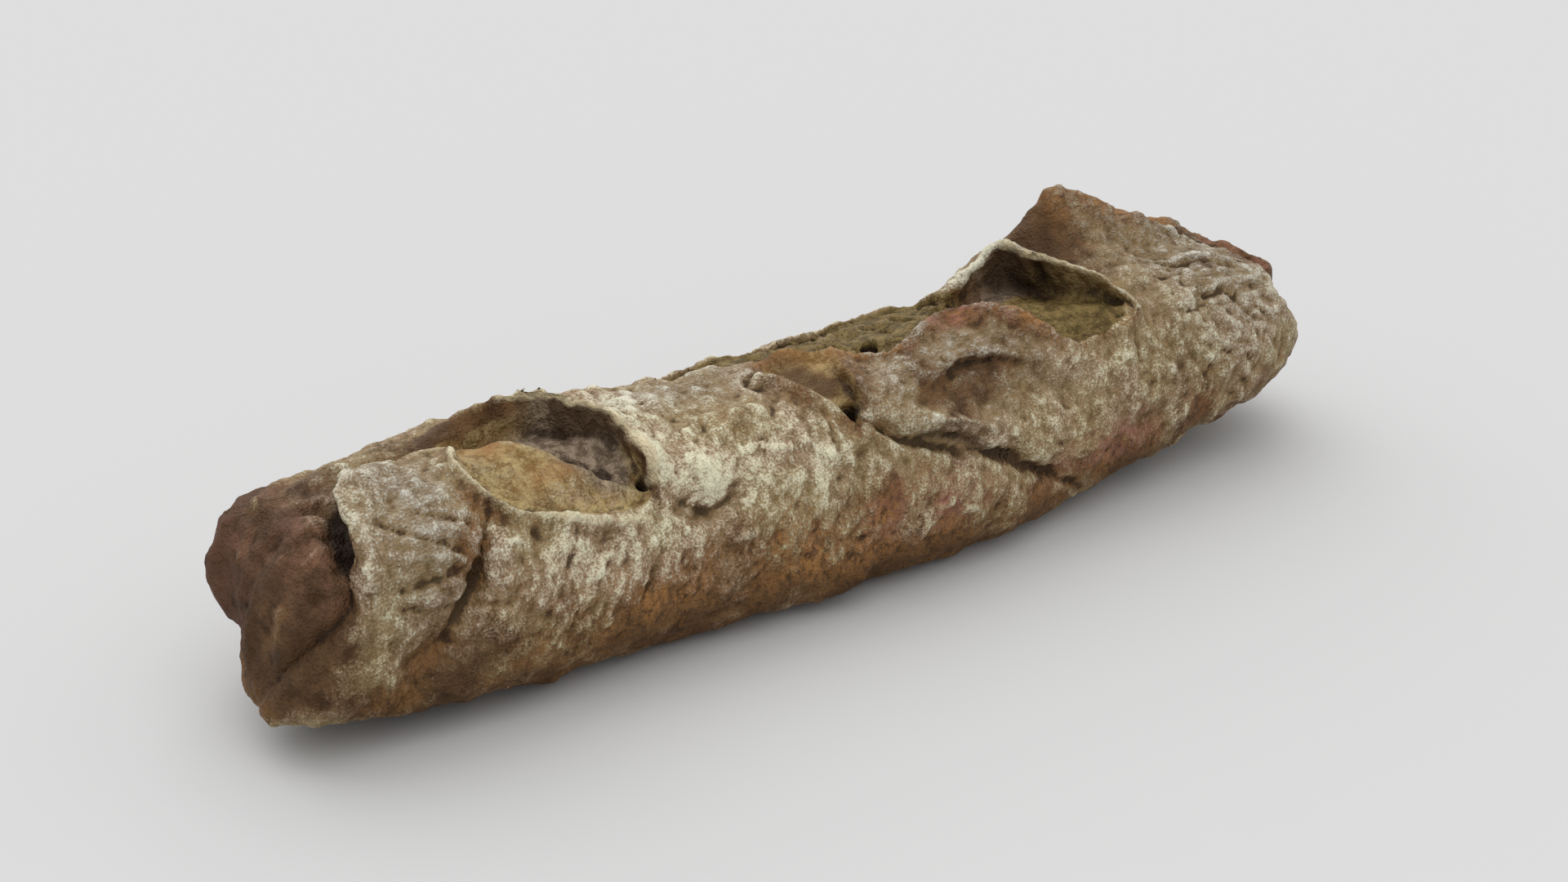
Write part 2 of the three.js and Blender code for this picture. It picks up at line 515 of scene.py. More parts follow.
@dataclass(frozen=True)
class Lip:
    """A curled edge of crust that hangs over the hollow on the left of its run.

    It leans over the hollow, is cut back under its rim, and its shelf is the crust
    that rises behind it. The cut has a depth, the curl is the lip's thickness, and
    the pocket is the width of the cut. The rest is how ragged it is, how much painted
    shade lies in the cut and on the wall under the lip, how pale its rim is, and where
    each of those starts.
    """

    places: tuple
    over: float = 3.0
    under: float = 3.0
    shelf: float = 5.0
    depth: float = 4.0
    curl: float = 3.0
    pocket: float = 7.0
    ragged: float = 0.25
    shadow: float = 0.8
    pale: float = 0.8
    wall: float = 0.7
    ragged_grain: float = 7.0
    ragged_seed: int = 91
    end_reach: float = 3.0
    lean: float = 0.7
    shade_gain: float = 1.8
    shade_start: float = 0.25
    rim_half: float = 0.4
    rim_fade: float = 0.5
    wall_start: float = 0.5
    wall_end: float = 2.0
    dust: float = 2.0

    def press(self, sculpt: Sculpt) -> None:
        """Raise the edge, push it over the hollow, and cut in under it.

        Args:
            sculpt: The crust.
        """
        line = lay(sculpt.bar, self.places)
        strongest = np.abs(line.value).max()
        waves = Waves(self.ragged, self.ragged_grain, self.ragged_seed)
        line.value = line.value * (1 + waves.at(line.points))
        near = against(sculpt.points, line, REACH * max(self.shelf, self.pocket))
        strength = near.value / strongest
        inside = near.aside > 0
        gap = np.where(inside, near.aside, 0.0)
        fade = bell(np.sqrt(np.maximum(near.distance**2 - near.aside**2, 0)), self.end_reach)
        fall = smoothstep(gap / self.curl)
        close = 1 - smoothstep((gap - self.curl) / self.pocket)
        hanging = near.value * (1 - fall) - self.depth * strength * fall * close
        behind = near.value * bell(near.aside, self.shelf)
        sculpt.raise_(near.chosen, fade * np.where(inside, hanging, behind))
        curled = self.over * (1 - fall) - self.under * fall * close
        leaning = self.over * bell(near.aside, self.shelf * self.lean)
        slide = np.where(inside, curled, leaning) * strength * fade
        sculpt.move[near.chosen] += near.leftward * slide[:, None]
        deep = smoothstep(self.shade_gain * (gap / self.curl - self.shade_start))
        shaded = np.where(inside, deep * close, 0.0) * fade * strength
        sculpt.paint(Layer.HOLLOW, near.chosen, self.shadow * shaded)
        rim = (np.abs(near.aside) < self.rim_half) & (fade > self.rim_fade)
        sculpt.rims.append((near.chosen[rim], self.pale * strength[rim]))
        # Painted shade on the wall under the lip: darker, and bare of flour.
        wall = smoothstep(gap / self.wall_start) * (1 - smoothstep((gap - self.curl) / self.wall_end))
        wall = np.where(inside, wall, 0.0) * fade * strength
        sculpt.paint(Layer.DARK, near.chosen, self.wall * wall)
        dust = self.pale * bell(near.aside + self.dust, self.dust) * fade * strength
        sculpt.paint(Layer.FLOUR, near.chosen, dust - wall)


@dataclass(frozen=True)
class Hollow:
    """A sunken area with a closed outline of (x, turn) places.

    The wall is how far in the floor starts, and soft how far the paint fades.
    """

    outline: tuple
    depth: float
    wall: float
    layer: Layer | None = None
    amount: float = 1.0
    soft: float = 2.0
    steps: int = 10
    margin: float = 4.0
    lead: float = 0.15

    def inside(self, sculpt: Sculpt) -> tuple[np.ndarray, np.ndarray]:
        """Find the points inside the outline.

        Args:
            sculpt: The crust.

        Returns:
            The points' numbers near the outline's area, and how far inside each is.
        """
        ring = np.array(self.outline, float) * (1, sculpt.bar.per_degree)
        ring = np.concatenate([ring[-1:], ring, ring[:2]])
        share = (1 + np.arange(len(self.outline) * self.steps) / self.steps) / (len(ring) - 1)
        curve = spline(ring, share)
        margin = self.wall + self.margin
        flat = np.stack([sculpt.x, sculpt.around], -1)
        chosen = within(flat, curve.min(0) - margin, curve.max(0) + margin)
        flat = flat[chosen]
        depth = np.linalg.norm(flat - curve[closest(flat, curve)], axis=1)
        nexts = np.roll(curve, -1, axis=0)
        rise = nexts[:, 1] - curve[:, 1]
        lean = (nexts[:, 0] - curve[:, 0]) / np.where(rise == 0, TINY, rise)
        for start in range(0, len(chosen), BATCH):
            x, around = flat[start : start + BATCH].T[:, :, None]
            passed = (curve[:, 1] > around) != (nexts[:, 1] > around)
            crossed = passed & (x < curve[:, 0] + lean * (around - curve[:, 1]))
            depth[start : start + BATCH] *= np.where(crossed.sum(1) % 2 == 1, 1, -1)
        return chosen, depth

    def press(self, sculpt: Sculpt) -> None:
        """Sink the area and paint it.

        Args:
            sculpt: The crust.
        """
        chosen, depth = self.inside(sculpt)
        sculpt.raise_(chosen, -self.depth * smoothstep(depth / self.wall + self.lead))
        if self.layer:
            sculpt.paint(self.layer, chosen, self.amount * smoothstep(depth / self.soft + 0.5))


@dataclass(frozen=True)
class Lump:
    """A push on the dough round a point: at and push are (x, y, z)."""

    at: tuple[float, float, float]
    reach: float
    push: tuple[float, float, float]

    def press(self, sculpt: Sculpt) -> None:
        """Push the dough round the point."""
        sculpt.move += bell(sculpt.away(self.at), self.reach)[:, None] * np.array(self.push, float)


@dataclass(frozen=True)
class Spot:
    """A soft round spot of one layer of the finish, about a point (x, y, z)."""

    layer: Layer
    at: tuple[float, float, float]
    reach: float
    amount: float

    def press(self, sculpt: Sculpt) -> None:
        """Paint the spot."""
        sculpt.layers[self.layer] += self.amount * bell(sculpt.away(self.at), self.reach)


@dataclass(frozen=True)
class Groove:
    """A furrow in a rounded end, along a line of (x, y, z) points."""

    line: tuple
    depth: float
    width: float
    # How much painted shade lies along the furrow.
    dark: float = 0.0
    steps: int = 12
    far: float = 3.0
    core: float = 0.6

    def press(self, sculpt: Sculpt) -> None:
        """Sink the furrow and paint shade along it.

        Args:
            sculpt: The crust.
        """
        rows = np.array(self.line, float)
        curve = spline(rows, np.linspace(0, 1, self.steps * (len(rows) - 1)))
        reach = self.far * self.width
        chosen = within(sculpt.points, curve.min(0) - reach, curve.max(0) + reach)
        off = sculpt.points[chosen][:, None] - curve[None]
        away = np.sqrt((off**2).sum(2).min(1))
        sculpt.raise_(chosen, -self.depth * bell(away, self.width))
        sculpt.paint(Layer.HOLLOW, chosen, self.dark * bell(away, self.width * self.core))


@dataclass(frozen=True)
class Pit:
    """A round pit or hole in the crust. Its wall is a share of its radius."""

    x: float
    turn: float
    radius: float
    depth: float
    # How much painted shade lies in the pit.
    dark: float = 0.0
    wall: float = 0.55
    lead: float = 0.1
    far: float = 1.5

    def press(self, sculpt: Sculpt) -> None:
        """Sink the pit and paint shade into it.

        Args:
            sculpt: The crust.
        """
        away = sculpt.away(sculpt.bar.at(np.array([self.x]), np.array([self.turn]))[0])
        chosen = np.flatnonzero(away < self.radius * self.far)
        shape = smoothstep((1 - away[chosen] / self.radius) / self.wall + self.lead)
        sculpt.raise_(chosen, -self.depth * shape)
        sculpt.paint(Layer.HOLLOW, chosen, self.dark * shape)


@dataclass(frozen=True)
class Patch:
    """A soft oval of one layer of the finish, so long and so far round the crust."""

    layer: Layer
    x: float
    turn: float
    long: float
    round: float
    amount: float

    def press(self, sculpt: Sculpt) -> None:
        """Paint the patch.

        Args:
            sculpt: The crust.
        """
        beside = sculpt.around - self.turn * sculpt.bar.per_degree
        off = np.hypot((sculpt.x - self.x) / self.long, beside / self.round)
        chosen = np.flatnonzero(off < REACH)
        sculpt.paint(self.layer, chosen, self.amount * bell(off[chosen], 1.0))


def several(kind: type, *rows: tuple) -> tuple:
    """Features of one kind, each from a row of its sizes."""
    return tuple(kind(*row) for row in rows)


def patches(layer: Layer, *rows: tuple) -> tuple[Patch, ...]:
    """Patches of one layer, each from its x, turn, long, round and amount."""
    return tuple(Patch(layer, *row) for row in rows)


def ridges(width: float, *lines: tuple) -> tuple[Ridge, ...]:
    """Ridges of one width, each from its places."""
    return tuple(Ridge(line, width, width) for line in lines)


# ---------------------------------------------------------------- what was done to this loaf

# The score nearest the folded end: a tight skin over burst crumb, under a thick lip.
FIRST_SCORE = (
    Hollow(
        outline=(
            (-120, 8), (-114, -2), (-115, -18), (-114, -31), (-108, -44), (-97, -50), (-85, -55),
            (-76, -55), (-71, -48), (-70, -32), (-72, -20), (-75, -10), (-80, 0), (-86, 8), (-96, 11),
            (-108, 9),
        ),
        depth=2.0, wall=2, layer=Layer.SKIN,
    ),
    Ridge(
        (
            (-114, 8, -2), (-101, 5, -3.5), (-93, -2, -4), (-87, -11, -4), (-82, -21, -4), (-77, -32, -4),
            (-73, -43, -2.5),
        ),
        left=7, right=6,
    ),
    Lip(
        places=(
            (-70, -53, 1), (-69, -44, 3.5), (-69, -33, 5), (-70, -23, 5.5), (-73, -13, 6), (-78, -3, 6),
            (-83, 6, 6), (-89, 11, 5.5), (-95, 13, 3), (-101, 14, 0.5),
        ),
        over=3.0, under=0.0, shelf=4.5, depth=2.0, curl=1.6, pocket=6, shadow=0.15, ragged=0.4, pale=1.0,
    ),
    Ridge(
        (
            (-112, 4, 0.5), (-103, -3, 1.0), (-97, -12, 1.2), (-92, -20, 1.2), (-87, -30, 1.2),
            (-81, -39, 1.0), (-75, -47, 0.5),
        ),
        left=0.9, right=3.0, layer=Layer.EDGE, amount=0.25,
    ),
    Ridge(
        (
            (-119, 5, 0.5), (-114, -4, 1.5), (-117, -18, 2.0), (-115, -31, 2.2), (-109, -44, 2.0),
            (-97, -51, 1.5), (-85, -57, 1.2), (-76, -60, 0.6),
        ),
        left=0.8, right=1.4, layer=Layer.EDGE, amount=0.5,
    ),
    Ridge(
        ((-114, 14, 1), (-105, 15, 4), (-98, 15, 4.5), (-90, 14, 1.5)),
        left=3.5, right=3.5, layer=Layer.DARK, amount=0.6,
    ),
    Ridge(
        ((-120, -30, -0.6), (-116, -42, -1.2), (-108, -52, -1.2), (-97, -58, -1), (-86, -64, -0.4)),
        left=2.5, right=3,
    ),
    Ridge(((-43, -22, 0.4), (-37, -27, 2.2), (-31, -33, 0.6)), left=3.5, right=4.5),
    Ridge(
        ((-70, -51, -0.5), (-65, -58, -3.6), (-58, -63, -3.8), (-51, -59, -2.4), (-47, -52, -0.5)),
        left=2.4, right=3.2, layer=Layer.FLOUR, amount=-0.5,
    ),
    # Pits, each from x, turn, radius and depth, then how much painted shade lies in it and its wall.
    *several(
        Pit,
        (-103, 6, 2.6, 2.5, 0.3, 0.4), (-98, 0, 2.2, 2.5, 0.3, 0.4), (-94, -7, 2.6, 2.4, 0.3, 0.35),
        (-90, -14, 3.2, 2.6, 0.15, 0.35), (-85, -24, 4.6, 2.6, 0.1, 0.3),
        (-80, -34, 3.6, 2.4, 0.15, 0.35), (-71, -45, 2.8, 5.0, 1.0),
    ),
    *several(
        Lump,
        ((-57, -30, 49), 5.5, (-2, -3, 4.5)), ((-106, 24, 52), 4.0, (0, -1, 1.5)),
        ((-113, 20, 52), 4.0, (0, -2, 1)), ((-44, -21, 56), 7.0, (0, -1, 1.8)),
    ),
    # Two spots of painted shade in the burst crumb.
    *patches(Layer.HOLLOW, (-92, -11, 2, 2, 0.8), (-88, -20, 2, 2, 0.7)),
    *patches(Layer.FLOUR, (-43, -30, 4, 6, -0.7), (-100, 10, 12, 4, -0.7), (-86, -46, 12, 7, 0.4)),
    *patches(Layer.MEMBRANE, (-82, -11, 11, 14, 1.1), (-79, -32, 6, 8, 1.0), (-98, 0, 8, 5, 0.6)),
    *patches(Layer.DARK, (-98, 8, 14, 4, 0.9), (-78, -14, 7, 12, 0.3)),
    *patches(Layer.BAKE, (-98, 9, 14, 4, 0.5), (-104, -8, 10, 6, 0.9), (-92, -30, 14, 4, 0.7)),
)

# The long middle score: open crumb along the crown, and a smooth pocket at its foot.
MIDDLE_SCORE = (
    Hollow(
        outline=(
            (-50, 28), (-40, 16), (-28, 11), (-18, 8), (-10, 7), (-3, -1), (3, -10), (9, -16), (18, -17),
            (24, -14), (32, -9), (44, -12), (52, -22), (60, -37), (66, -44), (74, -45), (81, -45),
            (86, -42), (88, -36), (84, -26), (79, -12), (76, 2), (71, 11), (64, 13), (55, 11), (47, 12),
            (43, 26), (32, 36), (10, 40), (-20, 38), (-42, 34),
        ),
        depth=2.4, wall=3, layer=Layer.CRUMB,
    ),
    Hollow(
        outline=(
            (-19, 2), (-10, 7), (-3, 2), (-1, -8), (-3, -18), (-4, -28), (-6, -38), (-9, -45), (-13, -40),
            (-17, -30), (-20, -18), (-21, -6),
        ),
        depth=2.6, wall=5, layer=Layer.SKIN, amount=0.9,
    ),
    Ridge(
        ((-20, 3, 0.6), (-12, 7, 1.2), (-4, 3, 1.2), (0, -4, 0.6)),
        left=1.4, right=1.4, layer=Layer.BAKE, amount=0.9,
    ),
    Ridge(
        (
            (-26, -6, 1.0), (-23, -11, 2.8), (-20, -19, 2.8), (-17, -29, 2.2), (-13, -39, 1.4),
            (-10, -47, 0.4),
        ),
        left=1.7, right=2.8,
    ),
    # A short groove with painted shade along it.
    Ridge(
        ((-27, -15, -0.5), (-29, -10, -2.2), (-27, -5, -2.2), (-22, -3, -0.6)),
        left=1.0, right=1.0, layer=Layer.HOLLOW, amount=0.4,
    ),
    Lip(
        places=(
            (-9, -46, 1.5), (-6, -37, 2.8), (-4.5, -29, 2.4), (-4, -21, 1.5), (-3, -13, 0.6),
            (-1, -6, 0.2),
        ),
        over=0.8, under=0.4, shelf=4, depth=1.0, curl=1.2, pocket=3, shadow=0.1, pale=0.2, wall=0.1,
    ),
    Ridge(
        (
            (-2, -5, 0.8), (3, -10, 1.2), (9, -15, 1.3), (16, -18, 1.5), (22, -18, 1.6), (28, -16, 1.6),
            (36, -15, 1.6), (44, -18, 1.6), (50, -23, 2.2), (54, -26, 3.4), (59, -36, 1.6),
            (66, -45, 1.2), (74, -46, 1.5), (81, -47, 3), (87, -46, 1),
        ),
        left=1.1, right=2.4, layer=Layer.BAKE, amount=1.2,
    ),
    Ridge(
        ((17, -19, 0.5), (24, -15, 3.6), (31, -12, 4.6), (39, -12, 4.8), (45, -17, 3.6), (50, -23, 0.8)),
        left=1.2, right=1.9, layer=Layer.RED, amount=1.2,
    ),
    Ridge(((16, -22, 1), (28, -20, 2), (45, -22, 2), (57, -32, 1.5)), left=6, right=7),
    Ridge(((84, -44, 1.5), (81, -56, 2.0), (81, -72, 1)), left=4, right=4),
    Ridge(((88, -46, -0.5), (86, -56, -1.5), (87, -70, -0.5)), left=2, right=2),
    # Pits and holes, each from x, turn, radius and depth, then how much painted shade lies in it.
    *several(
        Pit,
        (-9, -38, 3.8, 6.0, 1.2), (-15, 13, 3.4, 5.0, 1.0), (-11, 11, 2.4, 4.0, 1.0),
        (6, 2, 2.2, 2.5, 0.8), (14, -2, 1.8, 2.5, 0.8), (-2, 8, 1.8, 2.5, 0.8), (24, 6, 2.0, 2.5, 0.8),
        (56, -14, 2.0, 2.5, 0.8), (40, 4, 2.2, 2.5, 0.8),
    ),
    *patches(Layer.DARK, (-9, -34, 5, 9, 1.3), (-9, -14, 9, 9, 0.6), (-13, -12, 6, 14, 0.8)),
    *patches(Layer.FLOUR, (-12, -14, 7, 15, -1.2), (34, -13, 13, 4, -0.5)),
    Patch(Layer.BAKE, -10, -14, 9, 16, 0.9),
    Patch(Layer.RED, 34, -13, 12, 3.5, 1.3),
    *patches(Layer.SKIN, (76, -26, 16, 12, 1.1), (64, -8, 8, 10, 0.9)),
)

# The last score: a deep cavity under the near lip, and the tall ear behind it.
LAST_SCORE = (
    Hollow(
        outline=(
            (46, 7), (54, 12), (62, 14), (70, 13), (76, 3), (81, -12), (86, -28), (90, -40), (83, -34),
            (75, -24), (67, -12), (58, -5), (50, 0),
        ),
        depth=2.6, wall=5,
    ),
    Lip(
        places=(
            (91, -42, 1), (87, -29, 4), (81, -13, 6.5), (76, 2, 8), (72, 12, 7.5), (66, 15, 6),
            (58, 14, 4.5), (51, 11, 2.5), (45, 8, 0.5),
        ),
        over=3.0, under=3.5, shelf=3.0, depth=3.0, curl=1.5, pocket=5, shadow=0.6, pale=0.75,
    ),
    Ridge(
        (
            (48, 34, -2), (58, 30, 0), (66, 27, 3.5), (73, 25, 5), (80, 23, 6.5), (87, 20, 10.5),
            (94, 18, 16), (99, 17, 17.5), (106, 15, 14.5), (115, 14, 10.5), (130, 13, 7), (146, 14, 1),
        ),
        left=5, right=8, layer=Layer.DARK, amount=0.2,
    ),
    Hollow(
        outline=(
            (66, 52), (84, 38), (98, 34), (126, 34), (144, 38), (150, 46), (138, 60), (110, 68), (86, 64),
        ),
        depth=6, wall=8, layer=Layer.CRUMB,
    ),
    Lip(
        places=(
            (126, 8, 0.5), (138, -1, 1.0), (146, -8, 1.0), (150, -21, 0.8), (151, -34, 0.8),
            (149, -46, 0.5),
        ),
        over=0.8, under=1.2, shelf=3, depth=3.5, curl=1.2, pocket=4, shadow=0.8, pale=0.3,
    ),
    Ridge(
        ((147, 8, 0.4), (153, -4, 2.2), (157, -15, 5), (160, -27, 6), (159, -39, 3)),
        left=3.2, right=3.2, layer=Layer.RED, amount=0.4,
    ),
    # The hole in the nose, with painted shade in it.
    Pit(154.5, -24, 2.6, 4.5, 1.3),
    *several(Lump, ((156, -3, 50), 8, (0, 0, 2.5)), ((160, -20, 43), 7, (-3.5, 2.8, -1))),
    Spot(Layer.EDGE, (57, 9, 57), 12, -0.9),
    # The dark patches darken the cavity under the near lip, as painted shade.
    *patches(Layer.DARK, (63, 9, 12, 4, 0.3), (77, -6, 6, 7, 0.7)),
    Patch(Layer.CRUMB, 66, 9, 13, 4.5, -1.4),
    Patch(Layer.MEMBRANE, 67, 8, 12, 5, 0.7),
    Patch(Layer.BAKE, 56, 14, 10, 6, 0.6),
    Patch(Layer.FLOUR, 158, -20, 5, 14, -0.9),
)

# Folds of dough: creases with a full side, a recess, and the lobes of the folded end.
FOLDS = (
    Ridge(
        ((-10, -46, -1), (1, -58, -3), (15, -68, -3), (32, -82, -2.5), (51, -104, -2)),
        left=5, right=9,
    ),
    Ridge(((9, -52, 0.5), (14, -54, 2.4), (21, -58, 2.6), (28, -64, 0.8)), left=2.4, right=1.6),
    # A crease with painted shade along it.
    Ridge(
        ((6, -56, -1), (12, -58, -2.6), (19, -63, -2.6), (25, -69, -1.2), (31, -75, -0.2)),
        left=1.5, right=1.5, layer=Layer.HOLLOW, amount=0.7,
    ),
    Hollow(
        outline=(
            (18, -34), (27, -31), (36, -32), (48, -38), (60, -48), (70, -60), (64, -76), (48, -78),
            (32, -66), (20, -54), (10, -48), (10, -40),
        ),
        depth=2.8, wall=9,
    ),
    Lip(
        places=(
            (50, -44, 0.2), (43, -38, 0.9), (35, -34, 1.3), (27, -33, 1.2), (19, -36, 0.9),
            (11, -41, 0.2),
        ),
        over=0.5, under=0.4, shelf=4, depth=0.9, curl=1.0, pocket=4, shadow=0.2, pale=0.1, wall=0.5,
    ),
    # A crease with painted shade along it.
    Ridge(
        (
            (-114, -38, -2), (-118, -49, -4), (-120, -57, -4.5), (-123, -65, -4), (-128, -74, -1.5),
            (-134, -86, -0.5),
        ),
        left=1.4, right=1.4, layer=Layer.HOLLOW, amount=0.6,
    ),
    Ridge(
        (
            (-116, -40, -1), (-121, -53, -2), (-124, -67, -2.5), (-134, -86, -2.5), (-140, -101, -2),
            (-143, -116, -1),
        ),
        left=4, right=6, layer=Layer.BAKE, amount=0.8,
    ),
    Lip(
        places=(
            (-151, -56, 1.5), (-149, -44, 3.5), (-146, -32, 4.5), (-145, -20, 5), (-141, -12, 5),
            (-136, -3, 4), (-131, 4, 2),
        ),
        over=2.5, under=2.5, shelf=7, depth=5, curl=2.0, pocket=5, pale=0.2,
    ),
    # A groove under the lip, with painted shade along it.
    Ridge(
        ((-145, -6, -1), (-148, -14, -5), (-150, -24, -6), (-151, -34, -4), (-151, -42, -2)),
        left=2.4, right=2.4, layer=Layer.HOLLOW, amount=1.0,
    ),
    Ridge(((-137, -4, -2), (-144, -5, -3), (-150, -5, -3)), left=2, right=4),
    # Grooves in the folded end; those with a dark share have painted shade along them.
    Groove(
        ((-148, -4, 56), (-158, -3, 55), (-165, -3, 46), (-167, 0, 36), (-167, 5, 24), (-163, 8, 12)),
        depth=3.6, width=1.8, dark=0.5,
    ),
    Groove(
        ((-150, -10, 56), (-159, -9, 52), (-165, -8, 44), (-168, -5, 34), (-168, 0, 24)),
        depth=-2.0, width=3.2,
    ),
    Groove(
        ((-160, 26, 26), (-166, 18, 29), (-168, 9, 31), (-168, 3, 33)),
        depth=2.6, width=1.6, dark=0.4,
    ),
    Groove(
        ((-149, -28, 42), (-156, -27, 38), (-162, -22, 30), (-166, -14, 20), (-166, -6, 12)),
        depth=2.2, width=1.4, dark=0.5,
    ),
    Groove(((-150, -32, 40), (-157, -30, 34), (-162, -25, 26), (-165, -17, 17)), depth=-1.2, width=2.0),
    Ridge(
        (
            (-10, -42, -3), (-4, -48, -4.5), (1, -55, -3), (15, -65, -2.5), (32, -78, -2.5),
            (51, -102, -2.5), (66, -126, -1),
        ),
        left=1.7, right=1.7,
    ),
    Ridge(((-149, -46, -3), (-153, -59, -3), (-157, -67, -2)), left=1.8, right=1.8),
    Ridge(((-147, 9, -1), (-137, 5, -3), (-127, 8, -3), (-116, 10, -1)), left=3, right=3),
    *ridges(
        0.9,
        ((-142, -36, -0.4), (-136, -44, -0.9), (-129, -51, -1.0), (-122, -57, -0.6)),
        ((-145, -60, -0.4), (-136, -61, -1.0), (-128, -60, -1.0), (-121, -58, -0.5)),
        ((-138, -30, -0.4), (-130, -37, -0.8), (-122, -43, -0.8), (-116, -46, -0.4)),
        ((-144, -67, -0.4), (-134, -72, -0.9), (-125, -74, -0.8), (-117, -77, -0.4)),
    ),
    Ridge(((-143, -48, 0.4), (-137, -52, 1.3), (-130, -55, 1.3), (-124, -57, 0.4)), left=2.2, right=2.2),
)

# Short creases on the nose.
CREASES = (
    Ridge(((112, -14, 0.4), (118, -18, 1.1), (128, -18, 1.1), (136, -22, 0.4)), left=2.2, right=1.6),
    Ridge(((112, -39, 0.4), (120, -42, 1.2), (127, -43, 1.2), (133, -45, 0.4)), left=2.2, right=1.6),
    *ridges(
        0.8,
        ((114, -18, -0.3), (118, -22, -1.0), (128, -22, -1.0), (135, -26, -0.3)),
        ((104, -50, -0.3), (111, -52, -1.1), (118, -50, -0.3)),
        ((117, -30, -0.3), (114, -37, -1.0), (117, -41, -0.6)),
        ((106, -25, -0.3), (110, -30, -1.0), (117, -30, -0.4)),
    ),
    Ridge(
        ((117, -41, -0.3), (119, -46, -1.3), (125, -46, -1.3), (129, -50, -1.2), (132, -48, -0.3)),
        left=0.9, right=0.9,
    ),
)

# Broad bulges and dips of the dough.
LUMPS = several(
    Lump,
    ((-161, 16, 42), 12, (-2.5, 2.5, 2)), ((-164, 17, 28), 6, (-2.4, 1, -2)),
    ((-63, 22, 51), 8, (0, 0, 2)), ((-26, -28, 5), 12, (0, -0.8, -1.6)),
    ((-134, 18, 54), 9, (0, 0, -1.5)), ((128, -27, 12), 12, (0, 0.6, 1.6)),
    ((-168, -8, 13), 9, (-0.4, -0.4, -2.0)), ((-52, 20, 58), 18, (0, 0, -2.4)),
    ((-30, 27, 50), 10, (0, 0, -1)), ((-150, -22, 3), 13, (0, 2, 2)),
    ((-126, -27, 3), 13, (0, 1.2, 0.3)), ((56, 26, 51), 9, (0, -0.5, -3)),
    ((166, -13, 38), 8, (-4, 2, -3)), ((-165, 12, 21), 5, (3, -1.5, 0)),
    ((-163, 22, 11), 10, (7, -3, 0)), ((-163, -4, 16), 14, (-4, 0, 0)),
    ((-160, -24, 10), 14, (-6, -1, 0)), ((-132, -20, 49), 16, (0, -3, 3)),
    ((16, -34, 27), 28, (0, -3, 0)), ((164, -4, 50), 9, (-9, 4, -7)), ((124, 8, 62), 22, (0, -2, -3)),
)

# Where the finish differs from plain crust.
TONES = (
    *several(
        Spot,
        (Layer.FLOUR, (-166, -6, 28), 13, -1.2), (Layer.DARK, (-166, -6, 28), 13, 0.6),
        (Layer.FLOUR, (-166, -12, 31), 7, -1.2), (Layer.DARK, (-166, -12, 31), 7, 0.6),
        (Layer.FLOUR, (-158, -20, 10), 10, 0.9), (Layer.DARK, (-158, -20, 10), 9, -0.5),
        (Layer.FLOUR, (-118, -26, 4), 16, -0.8), (Layer.DARK, (-118, -26, 4), 16, 0.4),
    ),
    *patches(
        Layer.FLOUR,
        (-130, -18, 10, 12, 0.3), (-132, -64, 12, 20, -0.3), (-96, -68, 22, 12, 0.4),
        (-62, -18, 11, 24, 0.75), (-58, -54, 8, 6, 0.8), (-36, -10, 22, 14, 0.2), (-36, -54, 24, 12, 0.7),
        (4, -28, 7, 10, 0.5), (70, -56, 16, 10, 0.3), (112, -34, 18, 18, 0.1), (146, -44, 12, 22, 0.1),
        (0, 90, 180, 26, 0.3), (0, -118, 200, 12, -0.5), (20, -88, 30, 12, 0.4),
        (-160, -30, 12, 30, -0.2), (-150, 14, 9, 9, 0.5), (-152, -80, 10, 18, 0.5),
        (-166, 0, 14, 140, -1.0), (16, -46, 10, 6, -0.3), (86, 14, 14, 9, -0.5), (157, -8, 8, 16, -1.0),
        (-84, -74, 20, 8, 0.4), (-7, -79, 4.5, 5, -0.8), (-88, -106, 36, 12, -0.7),
        (24, -46, 18, 9, -0.4), (124, 13, 26, 3.2, -0.5),
    ),
    *patches(
        Layer.ALONG,
        (-132, -30, 14, 26, 1.0), (-45, 0, 24, 10, 0.9), (132, -14, 32, 34, 1.0), (60, 0, 40, 14, 0.6),
        (140, 60, 40, 40, 0.8), (24, -32, 34, 16, 1.0),
    ),
    *patches(
        Layer.DARK,
        (-166, 50, 13, 36, 1.8), (-164, -30, 12, 50, 0.7), (-140, 12, 20, 8, 0.4), (28, -42, 20, 9, 0.4),
        (0, -124, 220, 14, 0.6), (86, 12, 9, 9, 1.6), (-7, -79, 4.5, 5, 0.5), (-132, -92, 14, 14, 0.35),
        (154, -6, 8, 14, 0.4),
    ),
    *patches(
        Layer.BAKE,
        (-92, -96, 28, 10, 0.7), (-7, -79, 4.5, 5, 0.6), (-48, -84, 24, 9, 0.8), (-8, -94, 26, 9, 0.8),
        (30, -108, 80, 10, 0.5), (-118, -78, 6, 16, 0.4), (-136, -96, 20, 18, -0.3),
        (0, 180, 200, 34, 0.8), (0, -180, 200, 34, 0.8), (92, 19, 7, 4, 1.1), (124, 12, 26, 2.8, 1.4),
        (97, 14, 7, 5, 0.4), (154, -4, 7, 12, 0.5),
    ),
    *patches(
        Layer.RED,
        (12, -88, 30, 9, 0.7), (84, -98, 30, 10, 0.6), (-164, 50, 12, 36, 1.3), (-158, -34, 6, 16, 0.3),
        (158, -20, 6, 12, 0.35),
    ),
)

FEATURES = (*FIRST_SCORE, *MIDDLE_SCORE, *LAST_SCORE, *FOLDS, *CREASES, *LUMPS, *TONES)


